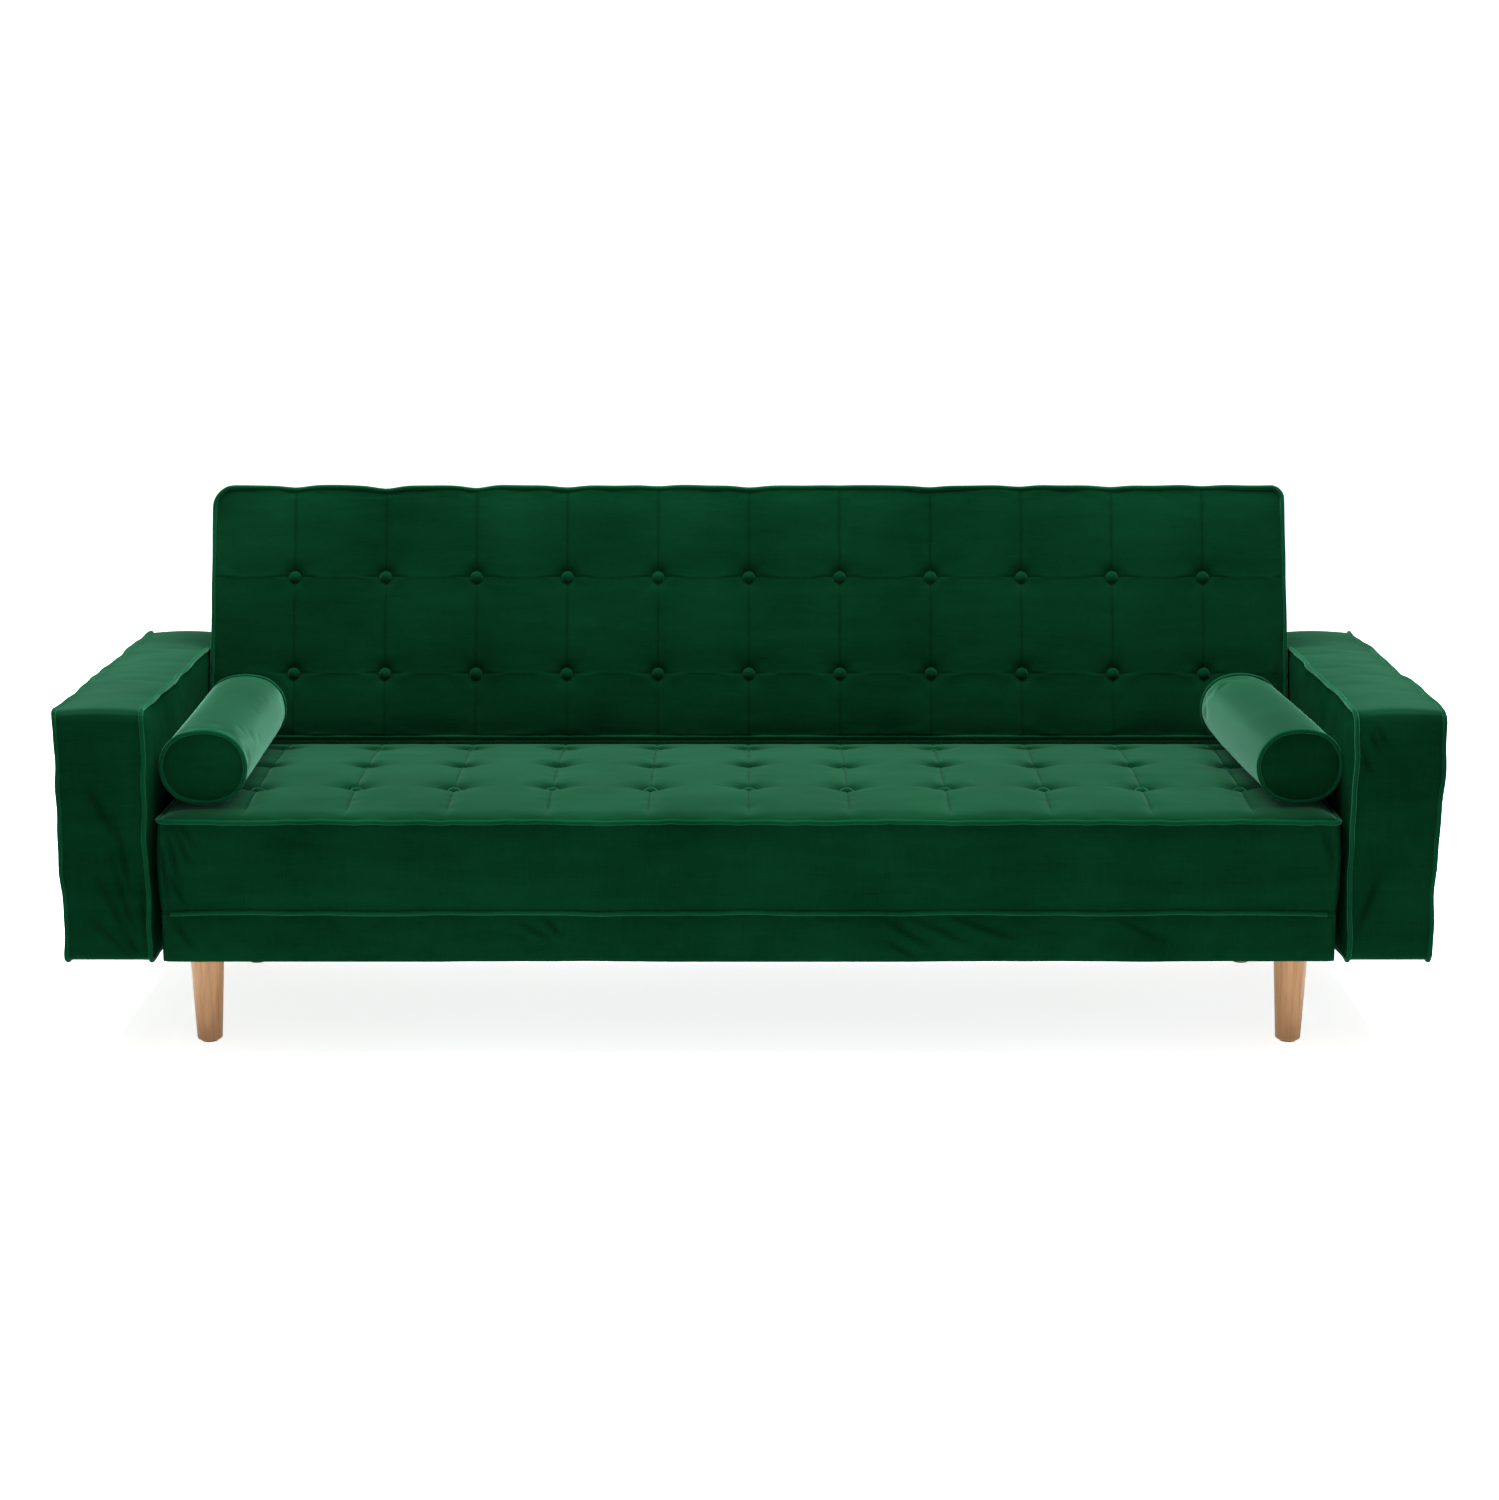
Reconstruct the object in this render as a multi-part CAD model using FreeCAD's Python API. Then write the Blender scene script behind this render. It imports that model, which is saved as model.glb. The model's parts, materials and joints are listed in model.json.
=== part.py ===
"""Three-seat click-clack sofa bed: upholstered seat, folding back, two box arms, two bolsters.

Millimetres. X runs along the sofa, the front faces -Y, +Z is up. The sofa stands on z = 0,
and the origin is under the middle of its box. Shapes are built with y = 0 at the front of
the seat and moved back by Y_SHIFT when they are written out.
"""

import FreeCAD, Part
import math
import os

Vector = FreeCAD.Vector

# ---- driving dimensions -------------------------------------------------------------
ARM_OUTER_X = 1046.0        # outer face of an arm
ARM_INNER_X = 917.0         # inner face of an arm
ARM_LENGTH = 772.0          # front to rear
ARM_BOTTOM_Z = 150.0
ARM_TOP_Z = 540.0
ARM_CORNER_R = 16.0

SEAT_HALF_X = 899.0         # half the width of the seat
SEAT_DEPTH = 603.0
SEAT_BASE_Z = 151.0         # underside of the upholstered base
SEAT_SPLIT_Z = 228.0        # base band below, mattress above
SEAT_SEAM_Z = 370.0         # top piping
SEAT_TOP_Z = 388.0
SEAT_CROWN_RUN = 30.0       # how far in the sloping edge of the top reaches
SEAT_REAR_RUN = 50.0        # the same at the rear, where the back swings over it
SEAT_PIPING_END_Y = 530.0   # the top piping stops here, in front of the hinges
SEAT_CORNER_R = 12.0

BACK_HALF_X = 910.0
BACK_LENGTH = 427.0         # bottom edge to top edge, along the back
BACK_THICK = 130.0
BACK_TILT = 17.0            # degrees from upright, at rest
BACK_CORNER_R = 34.0        # top corners
BACK_FOOT_R = 12.0          # bottom corners

PIVOT_Y = 566.0             # axis of the two folding hinges
PIVOT_Z = 342.0
PIVOT_BELOW_FACE = 46.0     # the axis lies this far behind the front face of the back
PIVOT_TO_EDGE = 44.0        # and this far below its bottom edge
SWING_GAP = 2.0             # between the seat and the bottom of the back as it swings

COVER = 8.0                 # velvet with its wadding, on the sides
QUILT = 15.0                # the same, on the tufted faces
PIPING_R = 4.0
PIPING_INSET = 1.5          # centre of a piping, in from the corner that it runs along
GROOVE_GAP = 0.2            # room round a piping in its seam

COLUMNS = 11                # buttons along the sofa
COLUMN_PITCH = 154.0
SEAT_ROWS = (165.0, 315.0, 465.0)
BACK_ROWS = (107.0, 272.0)
BUTTON_R = 12.0
BUTTON_HEIGHT = 9.0
BUTTON_SINK = 7.0

TIMBER = 22.0               # thickness of the frame rails
LEG_X = 846.0
LEG_FRONT_Y = 90.0
LEG_REAR_Y = 555.0
LEG_TOP_R = 27.0
LEG_FOOT_R = 19.5
GLIDE_R = 13.0
GLIDE_HEIGHT = 3.0
LEG_PLATE = 2.5             # thickness of a leg's mounting plate

BOLT_R = 4.0
BOLT_CLEARANCE = 0.3
ARM_BOLT_Z = 205.0
ARM_BOLTS_Y = (110.0, 300.0, 552.0)

STEEL = 3.5                 # thickness of the hinge plates
PIVOT_R = 6.0
RUNNING_GAP = 0.05
SEAT_PLATE_X = SEAT_HALF_X                  # inner face of the fixed plate
MOVING_PLATE_X = SEAT_PLATE_X + STEEL + 0.5  # inner face of the moving plate and the pawl
RATCHET_R = 30.0
RATCHET_ROOT_R = 25.0
FLAT_ANGLE = 90.0 - BACK_TILT
RELEASE_ANGLE = 8.0
LOUNGE_ANGLE = 35.0

WIRE_R = 1.9
SPRING_COUNT = 9
SPRING_PITCH = 190.0
SPRING_HALF_WIDTH = 22.0    # half of each straight run across a spring

BOLSTER_LENGTH = 460.0
BOLSTER_R = 56.0
BOLSTER_FLAT = 9.0          # half of the flat on the squashed top and bottom
BOLSTER_REST_GAP = 0.5
BOLSTER_COVER = 5.0
BOLSTERS = {                # x and y of the middle of the front end, turn about Z in degrees
    "left": (-833.0, 42.0, 1.1),
    "right": (843.0, 50.0, 2.5),
}

# ---- values worked out from them ----------------------------------------------------
SIN_TILT = math.sin(math.radians(BACK_TILT))
COS_TILT = math.cos(math.radians(BACK_TILT))
BACK_CORNER_Y = PIVOT_Y - PIVOT_BELOW_FACE * COS_TILT + PIVOT_TO_EDGE * SIN_TILT
BACK_CORNER_Z = PIVOT_Z + PIVOT_BELOW_FACE * SIN_TILT + PIVOT_TO_EDGE * COS_TILT
FRONT_Y = -(PIPING_R - PIPING_INSET)
REAR_Y = BACK_CORNER_Y + BACK_LENGTH * SIN_TILT + BACK_THICK * COS_TILT
Y_SHIFT = -(FRONT_Y + REAR_Y) / 2

parts = {}


def add(name, *shapes):
    """Keeps a sub-part: one solid, or a group of separate ones."""
    solids = [s for shape in shapes for s in shape.Solids]
    for s in solids:
        if not s.isValid() or s.Volume <= 0:
            raise ValueError(f"{name} has a bad solid")
    parts[name] = Part.Compound(solids)


# ---- helpers ------------------------------------------------------------------------
def box(x0, x1, y0, y1, z0, z1):
    return Part.makeBox(x1 - x0, y1 - y0, z1 - z0, Vector(x0, y0, z0))


def mirror_x(shape):
    return shape.mirror(Vector(0, 0, 0), Vector(1, 0, 0))


def rod(x0, x1, y, z, r):
    """A round bar along X."""
    return Part.makeCylinder(r, x1 - x0, Vector(x0, y, z), Vector(1, 0, 0))


def cut(shape, *tools):
    for t in tools:
        shape = shape.cut(t)
    return shape


def fuse(first, *others):
    for o in others:
        first = first.fuse(o)
    return first.removeSplitter()


def rounded_loop(a0, a1, b0, b1, radii, place):
    """A closed wire round the rectangle a0..a1 by b0..b1. radii are those of its corners,
    from (a0, b0) anticlockwise, and place turns (a, b) into a point."""
    corners = [(a0, b0), (a1, b0), (a1, b1), (a0, b1)]
    edges = []
    ends = []
    for i, (a, b) in enumerate(corners):
        before, after = corners[i - 1], corners[(i + 1) % 4]
        r = radii[i]
        turn = []
        for ta, tb in (before, after):
            size = math.hypot(ta - a, tb - b)
            turn.append(((ta - a) / size, (tb - b) / size))
        start = (a + turn[0][0] * r, b + turn[0][1] * r)
        stop = (a + turn[1][0] * r, b + turn[1][1] * r)
        bulge = r * (1 - math.sqrt(0.5))
        middle = (a + (turn[0][0] + turn[1][0]) * bulge, b + (turn[0][1] + turn[1][1]) * bulge)
        ends.append((start, middle, stop))
    for i, (start, middle, stop) in enumerate(ends):
        edges.append(Part.Arc(place(*start), place(*middle), place(*stop)).toShape())
        edges.append(Part.LineSegment(place(*stop), place(*ends[(i + 1) % 4][0])).toShape())
    return Part.Wire(edges)


def tube(path, r):
    """A solid round bar along a wire."""
    first = path.Edges[0]
    start = first.valueAt(first.FirstParameter)
    along = first.tangentAt(first.FirstParameter)
    circle = Part.Wire(Part.makeCircle(r, start, along))
    made = path.makePipeShell([circle], True, True)
    solid = made if made.Solids else Part.makeSolid(made)
    return Part.makeSolid(solid.Shells[0]) if solid.Volume < 0 else solid


def prism(points, x0, x1):
    """A plate between x0 and x1 with an outline of (y, z) points."""
    corners = [Vector(x0, y, z) for y, z in points]
    face = Part.Face(Part.makePolygon(corners + corners[:1]))
    return face.extrude(Vector(x1 - x0, 0, 0))


def strap(p, q, rp, rq, x0, x1):
    """A plate between x0 and x1: the outline drawn round two circles, in Y and Z."""
    (py, pz), (qy, qz) = p, q
    size = math.hypot(qy - py, qz - pz)
    base = math.atan2(qz - pz, qy - py)
    lean = math.acos((rp - rq) / size)
    points = []
    for centre, r, sign in ((p, rp, 1), (q, rq, 1), (q, rq, -1), (p, rp, -1)):
        angle = base + sign * lean
        points.append((centre[0] + r * math.cos(angle), centre[1] + r * math.sin(angle)))
    return fuse(prism(points, x0, x1), rod(x0, x1, py, pz, rp), rod(x0, x1, qy, qz, rq))


def lean_back(shape):
    """From the back's own frame (y behind its front face, z up from its bottom edge) to
    where it stands at rest."""
    moved = shape.copy()
    moved.rotate(Vector(0, 0, 0), Vector(1, 0, 0), -BACK_TILT)
    moved.translate(Vector(0, BACK_CORNER_Y, BACK_CORNER_Z))
    return moved


def button(x, y):
    """A covered button, standing on z = 0 of a tufted face."""
    blank = Part.makeCylinder(BUTTON_R, BUTTON_HEIGHT, Vector(x, y, 0))
    rim = [e for e in blank.Edges if e.BoundBox.ZMin > BUTTON_HEIGHT / 2]
    return blank.makeFillet(BUTTON_HEIGHT * 0.6, rim)


def column_positions():
    half = (COLUMNS - 1) / 2
    return [(i - half) * COLUMN_PITCH for i in range(COLUMNS)]


def spring_positions():
    half = (SPRING_COUNT - 1) / 2
    return [(i - half) * SPRING_PITCH for i in range(SPRING_COUNT)]


def zigzag_spring(y0, y1, z):
    """A no-sag spring about x = 0: runs across X joined by half turns, from y0 to y1."""
    gaps = 2 * round((y1 - y0) / 38.0)
    pitch = (y1 - y0) / gaps
    edges = []
    for i in range(gaps + 1):
        y = y0 + i * pitch
        side = 1 if i % 2 == 0 else -1
        start = Vector(-side * SPRING_HALF_WIDTH, y, z)
        stop = Vector(side * SPRING_HALF_WIDTH, y, z)
        edges.append(Part.LineSegment(start, stop).toShape())
        if i < gaps:
            top = Vector(side * (SPRING_HALF_WIDTH + pitch / 2), y + pitch / 2, z)
            edges.append(Part.Arc(stop, top, Vector(stop.x, y + pitch, z)).toShape())
    return tube(Part.Wire(edges), WIRE_R)


def spring_clip(y, z):
    """The clip that holds the last run of a spring down on its rail, which ends at z."""
    block = box(-8, 8, y - 7, y + 7, z, z + 8)
    return cut(block, rod(-9, 9, y, z + 4, WIRE_R + 0.1))


def bolt(x0, x1, y, z, head_r, head, nut_x, nut):
    """A bolt along X with its head ending at x0 and its nut starting at nut_x."""
    made = fuse(rod(x0, x1, y, z, BOLT_R), rod(x0 - head, x0, y, z, head_r))
    nut_points = []
    for k in range(6):
        angle = math.radians(60 * k + 30)
        nut_points.append((y + 7.5 * math.cos(angle), z + 7.5 * math.sin(angle)))
    return fuse(made, prism(nut_points, nut_x, nut_x + nut))


def bolt_hole(x0, x1, y, z):
    return rod(x0, x1, y, z, BOLT_R + BOLT_CLEARANCE)


# ---- seat: base frame and legs --------------------------------------------------------
RAIL_X = SEAT_HALF_X - COVER        # outer faces of the base frame
RAIL_FRONT_Y = COVER
RAIL_REAR_Y = SEAT_DEPTH - COVER
RAIL_BOTTOM_Z = SEAT_BASE_Z + 2
RAIL_TOP_Z = SEAT_SPLIT_Z - 2
BLOCK_TOP_Z = RAIL_BOTTOM_Z + 42    # top of the corner blocks
LEG_TOP_Z = RAIL_BOTTOM_Z - LEG_PLATE
LEG_PLACES = {
    "front_left": (-LEG_X, LEG_FRONT_Y),
    "front_right": (LEG_X, LEG_FRONT_Y),
    "rear_left": (-LEG_X, LEG_REAR_Y),
    "rear_right": (LEG_X, LEG_REAR_Y),
}
SEAT_PLATE_BOLTS = ((505.0, 204.0), (400.0, 190.0))


def base_frame():
    x, y0, y1 = RAIL_X, RAIL_FRONT_Y, RAIL_REAR_Y
    z0, z1 = RAIL_BOTTOM_Z, RAIL_TOP_Z
    add("seat_front_rail", box(-x, x, y0, y0 + TIMBER, z0, z1))
    add("seat_rear_rail", box(-x, x, y1 - TIMBER, y1, z0, z1))
    end = box(x - TIMBER, x, y0 + TIMBER, y1 - TIMBER, z0, z1)
    end = cut(end, *[bolt_hole(x - 50, x + 9, y, ARM_BOLT_Z) for y in ARM_BOLTS_Y])
    end = cut(end, *[bolt_hole(x - 50, x + 9, y, z) for y, z in SEAT_PLATE_BOLTS])
    add("seat_end_rails", end, mirror_x(end))
    cross = box(-TIMBER / 2, TIMBER / 2, y0 + TIMBER, y1 - TIMBER, z0, z0 + 47)
    add("seat_cross_rails", *[cross.translated(Vector(dx, 0, 0)) for dx in (-450, 0, 450)])
    blocks = []
    for lx, ly in LEG_PLACES.values():
        side = 1 if lx > 0 else -1
        near = y0 + TIMBER if ly < SEAT_DEPTH / 2 else y1 - TIMBER - 110
        block = box(x - TIMBER - 70, x - TIMBER, near, near + 110, z0, BLOCK_TOP_Z)
        block = block if side > 0 else mirror_x(block)
        blocks.append(cut(block, Part.makeCylinder(BOLT_R, 60, Vector(lx, ly, z0 - 5))))
    add("seat_corner_blocks", *blocks)


def legs():
    plates, hangers, glides = [], [], []
    for name, (x, y) in LEG_PLACES.items():
        height = LEG_TOP_Z - GLIDE_HEIGHT
        leg = Part.makeCone(LEG_FOOT_R, LEG_TOP_R, height, Vector(x, y, GLIDE_HEIGHT))
        foot = [e for e in leg.Edges if e.BoundBox.ZMax < GLIDE_HEIGHT + 1]
        leg = leg.makeFillet(3.5, foot)
        leg = cut(leg, Part.makeCylinder(BOLT_R, 46, Vector(x, y, LEG_TOP_Z - 45)))
        add(f"leg_{name}", leg)
        plate = box(x - 30, x + 30, y - 30, y + 30, LEG_TOP_Z, RAIL_BOTTOM_Z)
        plates.append(cut(plate, Part.makeCylinder(BOLT_R, 20, Vector(x, y, LEG_TOP_Z - 5))))
        hangers.append(Part.makeCylinder(BOLT_R, 72, Vector(x, y, LEG_TOP_Z - 40)))
        glides.append(Part.makeCylinder(GLIDE_R, GLIDE_HEIGHT, Vector(x, y, 0)))
    add("leg_plates", *plates)
    add("leg_hanger_bolts", *hangers)
    add("leg_glides", *glides)


# ---- seat: springs, foam and covers ---------------------------------------------------
SPRING_Z = RAIL_TOP_Z + 4
SEAT_INNER_REAR_Y = RAIL_REAR_Y - 11    # the foam stops short of the rounded rear edge


def seat_springs():
    y0 = RAIL_FRONT_Y + TIMBER / 2
    y1 = RAIL_REAR_Y - TIMBER / 2
    spring = zigzag_spring(y0, y1, SPRING_Z)
    places = spring_positions()
    add("seat_springs", *[spring.translated(Vector(x, 0, 0)) for x in places])
    clips = [spring_clip(y, RAIL_TOP_Z) for y in (y0, y1)]
    add("seat_spring_clips", *[c.translated(Vector(x, 0, 0)) for x in places for c in clips])


def plan_loop(x, y0, y1, r, z):
    return rounded_loop(-x, x, y0, y1, [r] * 4, lambda a, b: Vector(a, b, z))


def seat_piping_line():
    """The seam along the front of the top and both its ends."""
    i = PIPING_INSET
    x, r, z = SEAT_HALF_X - i, SEAT_CORNER_R - i, SEAT_SEAM_Z
    bend = r * (1 - math.sqrt(0.5))
    edges = []
    for side in (-1, 1):
        rear = Vector(side * x, SEAT_PIPING_END_Y, z)
        start, stop = Vector(side * x, i + r, z), Vector(side * (x - r), i, z)
        middle = Vector(side * (x - bend), i + bend, z)
        run = [Part.LineSegment(rear, start).toShape(), Part.Arc(start, middle, stop).toShape()]
        if side < 0:
            edges = run
        else:
            front = Part.LineSegment(Vector(-(x - r), i, z), stop).toShape()
            back_run = [Part.Arc(stop, middle, start).toShape(),
                        Part.LineSegment(start, rear).toShape()]
            edges = edges + [front] + back_run
    return Part.Wire(edges)


def lower_piping_line():
    """The seam along the front between the mattress and the base band."""
    x = SEAT_HALF_X - SEAT_CORNER_R
    ends = [Vector(s * x, PIPING_INSET, SEAT_SPLIT_Z) for s in (-1, 1)]
    return Part.Wire([Part.LineSegment(*ends).toShape()])


def seat_inside(z0):
    """The room inside the cover above z0. It is shorter behind the rounded rear edge."""
    lower = box(-RAIL_X, RAIL_X, RAIL_FRONT_Y, RAIL_REAR_Y, z0, PIVOT_Z)
    upper = box(-RAIL_X, RAIL_X, RAIL_FRONT_Y, SEAT_INNER_REAR_Y, PIVOT_Z, SEAT_TOP_Z - QUILT)
    return fuse(lower, upper)


def seat_cover():
    """Mattress cover: boxing with a tufted top that slopes down to its piping."""
    x, run, r = SEAT_HALF_X, SEAT_CROWN_RUN, SEAT_CORNER_R
    side = Part.Face(plan_loop(x, 0, SEAT_DEPTH, r, SEAT_SPLIT_Z))
    side = side.extrude(Vector(0, 0, SEAT_SEAM_Z - SEAT_SPLIT_Z))
    low = plan_loop(x, 0, SEAT_DEPTH, r, SEAT_SEAM_Z)
    high = plan_loop(x - run, run, SEAT_DEPTH - SEAT_REAR_RUN, r, SEAT_TOP_Z)
    body = side.fuse(Part.makeLoft([low, high], True, True))
    rear_edge = box(-x - 5, x + 5, SEAT_DEPTH - 18, SEAT_DEPTH + 5, PIVOT_Z, SEAT_TOP_Z)
    swing = rod(-x - 6, x + 6, PIVOT_Y, PIVOT_Z, PIVOT_TO_EDGE - SWING_GAP)
    body = cut(body, rear_edge.cut(swing), seat_inside(0))
    body = body.cut(tube(seat_piping_line(), PIPING_R + GROOVE_GAP))
    body = cut(body, tube(lower_piping_line(), PIPING_R + GROOVE_GAP))
    for cx in column_positions():
        for cy in SEAT_ROWS:
            pocket = Vector(cx, cy, SEAT_TOP_Z - BUTTON_SINK)
            body = body.cut(Part.makeCylinder(BUTTON_R + 1, 20, pocket))
    for side_x in (SEAT_HALF_X - 3, -SEAT_HALF_X - 3):
        body = body.cut(rod(side_x, side_x + 6, PIVOT_Y, PIVOT_Z, 10.5))
    return body


def seat_soft_parts():
    add("seat_cover", seat_cover())
    add("seat_foam", seat_inside(SPRING_Z + 6))
    band = Part.Face(plan_loop(SEAT_HALF_X, 0, SEAT_DEPTH, SEAT_CORNER_R, SEAT_BASE_Z))
    band = band.extrude(Vector(0, 0, SEAT_SPLIT_Z - SEAT_BASE_Z))
    band = cut(band, box(-RAIL_X, RAIL_X, RAIL_FRONT_Y, RAIL_REAR_Y, 0, SEAT_TOP_Z))
    band = cut(band, tube(lower_piping_line(), PIPING_R + GROOVE_GAP))
    for side in (1, -1):
        for y, z in [(y, ARM_BOLT_Z) for y in ARM_BOLTS_Y] + list(SEAT_PLATE_BOLTS):
            hole = bolt_hole(RAIL_X - 5, SEAT_HALF_X + 5, y, z)
            band = band.cut(hole if side > 0 else mirror_x(hole))
    add("seat_base_band", band)
    add("seat_top_piping", tube(seat_piping_line(), PIPING_R))
    add("seat_lower_piping", tube(lower_piping_line(), PIPING_R))
    floor = SEAT_TOP_Z - BUTTON_SINK
    buttons = [button(x, y).translated(Vector(0, 0, floor))
               for x in column_positions() for y in SEAT_ROWS]
    add("seat_buttons", *buttons)
    dust = box(-RAIL_X, RAIL_X, RAIL_FRONT_Y, RAIL_REAR_Y, SEAT_BASE_Z, SEAT_BASE_Z + 1)
    for x, y in LEG_PLACES.values():
        dust = dust.cut(box(x - 32, x + 32, y - 32, y + 32, 0, SEAT_TOP_Z))
    add("dust_cover", dust)


# ---- arms ---------------------------------------------------------------------------
PLY = 9.0
ARM_FOAM_SIDE = 16.0
ARM_FOAM_TOP = 22.0


def arm_side_loop(x):
    i = PIPING_INSET
    r = ARM_CORNER_R - i
    return rounded_loop(i, ARM_LENGTH - i, ARM_BOTTOM_Z + i, ARM_TOP_Z - i, [r] * 4,
                        lambda a, b: Vector(x, a, b))


def arm_parts():
    """The right arm's sub-parts, as a dict of name to solids."""
    x0, x1 = ARM_INNER_X, ARM_OUTER_X
    in_x0, in_x1 = x0 + COVER, x1 - COVER
    in_y0, in_y1 = COVER, ARM_LENGTH - COVER
    in_top = ARM_TOP_Z - COVER
    loops = [arm_side_loop(x) for x in (x0 + PIPING_INSET, x1 - PIPING_INSET)]
    outline = rounded_loop(0, ARM_LENGTH, ARM_BOTTOM_Z, ARM_TOP_Z, [ARM_CORNER_R] * 4,
                           lambda a, b: Vector(x0, a, b))
    cover = Part.Face(outline).extrude(Vector(x1 - x0, 0, 0))
    cover = cut(cover, box(in_x0, in_x1, in_y0, in_y1, 0, in_top))
    cover = cut(cover, *[tube(loop, PIPING_R + GROOVE_GAP) for loop in loops])

    frame_x0, frame_x1 = in_x0 + ARM_FOAM_SIDE, in_x1
    frame_y0, frame_y1 = in_y0 + 6, in_y1
    frame_z0, frame_z1 = ARM_BOTTOM_Z + 2, in_top - ARM_FOAM_TOP
    foam = box(in_x0, in_x1, in_y0, in_y1, frame_z0, in_top)
    foam = cut(foam, box(frame_x0, frame_x1, frame_y0, frame_y1, 0, frame_z1))
    inner_ply = box(frame_x0, frame_x0 + PLY, frame_y0, frame_y1, frame_z0, frame_z1)
    outer_ply = box(frame_x1 - PLY, frame_x1, frame_y0, frame_y1, frame_z0, frame_z1)
    core_x = (frame_x0 + PLY, frame_x1 - PLY)
    posts = [box(*core_x, y, y + TIMBER, frame_z0, frame_z1)
             for y in (frame_y0, (frame_y0 + frame_y1 - TIMBER) / 2, frame_y1 - TIMBER)]
    rails = []
    for a, b in zip(posts, posts[1:]):
        for z in (frame_z0, frame_z1 - TIMBER):
            rails.append(box(*core_x, a.BoundBox.YMax, b.BoundBox.YMin, z, z + TIMBER))
    holes = [bolt_hole(x0 - 5, frame_x0 + PLY + 5, y, ARM_BOLT_Z) for y in ARM_BOLTS_Y]
    head_x = RAIL_X - TIMBER
    nut_x = frame_x0 + PLY
    bolts = [bolt(head_x, nut_x + 8, y, ARM_BOLT_Z, 7.0, 5.0, nut_x, 6.0)
             for y in ARM_BOLTS_Y]
    spacers = [cut(rod(SEAT_HALF_X, x0, y, ARM_BOLT_Z, 10.0),
                   bolt_hole(SEAT_HALF_X - 5, x0 + 5, y, ARM_BOLT_Z))
               for y in ARM_BOLTS_Y]
    return {
        "cover": [cut(cover, *holes)],
        "piping": [tube(loop, PIPING_R) for loop in loops],
        "foam": [cut(foam, *holes)],
        "frame": [cut(inner_ply, *holes), outer_ply] + posts + rails,
        "bolts": bolts + spacers,
    }


def arms():
    for name, solids in arm_parts().items():
        add(f"arm_right_{name}", *solids)
        add(f"arm_left_{name}", *[mirror_x(s) for s in solids])


# ---- back ---------------------------------------------------------------------------
BACK_RAIL_X = MOVING_PLATE_X            # ends of the back's frame
BACK_FRAME_Y0 = 76.0                    # its front and rear, behind the back's front face
BACK_FRAME_Y1 = 126.0
BACK_SIDE = 7.0
HUB = (PIVOT_BELOW_FACE, -PIVOT_TO_EDGE)
BACK_PLATE_ELBOW = (99.0, 38.0)
BACK_PLATE_END = (101.0, 168.0)
BACK_PLATE_BOLTS = ((100.0, 62.0), (101.0, 160.0))


def back_outline(x, low, high, foot_r, top_r, y):
    return rounded_loop(-x, x, low, high, [foot_r, foot_r, top_r, top_r],
                        lambda a, b: Vector(a, y, b))


def back_piping_loop():
    i = PIPING_INSET
    return back_outline(BACK_HALF_X - i, i, BACK_LENGTH - i, BACK_FOOT_R - i,
                        BACK_CORNER_R - i, i)


def back_plate_blank(grow, x0, x1):
    return fuse(strap(HUB, BACK_PLATE_ELBOW, 20 + grow, 18 + grow, x0, x1),
                strap(BACK_PLATE_ELBOW, BACK_PLATE_END, 18 + grow, 16 + grow, x0, x1))


def back_inside():
    """The space within the back's cover, with top corners that follow the cover's."""
    loop = back_outline(BACK_RAIL_X, BACK_SIDE, BACK_LENGTH - BACK_SIDE, 3,
                        BACK_CORNER_R - BACK_SIDE, QUILT)
    return Part.Face(loop).extrude(Vector(0, BACK_THICK + 5 - QUILT, 0))


def back_cover():
    """Front face, top, bottom and ends; open at the rear for the lining."""
    outline = back_outline(BACK_HALF_X, 0, BACK_LENGTH, BACK_FOOT_R, BACK_CORNER_R, 0)
    body = Part.Face(outline).extrude(Vector(0, BACK_THICK, 0))
    body = cut(body, back_inside(), tube(back_piping_loop(), PIPING_R + GROOVE_GAP))
    pocket = back_plate_blank(1.0, MOVING_PLATE_X, MOVING_PLATE_X + STEEL + 0.5)
    body = cut(body, pocket, mirror_x(pocket))
    for cx in column_positions():
        for cz in BACK_ROWS:
            start = Vector(cx, BUTTON_SINK, cz)
            body = body.cut(Part.makeCylinder(BUTTON_R + 1, 20, start, Vector(0, -1, 0)))
    return body


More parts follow.
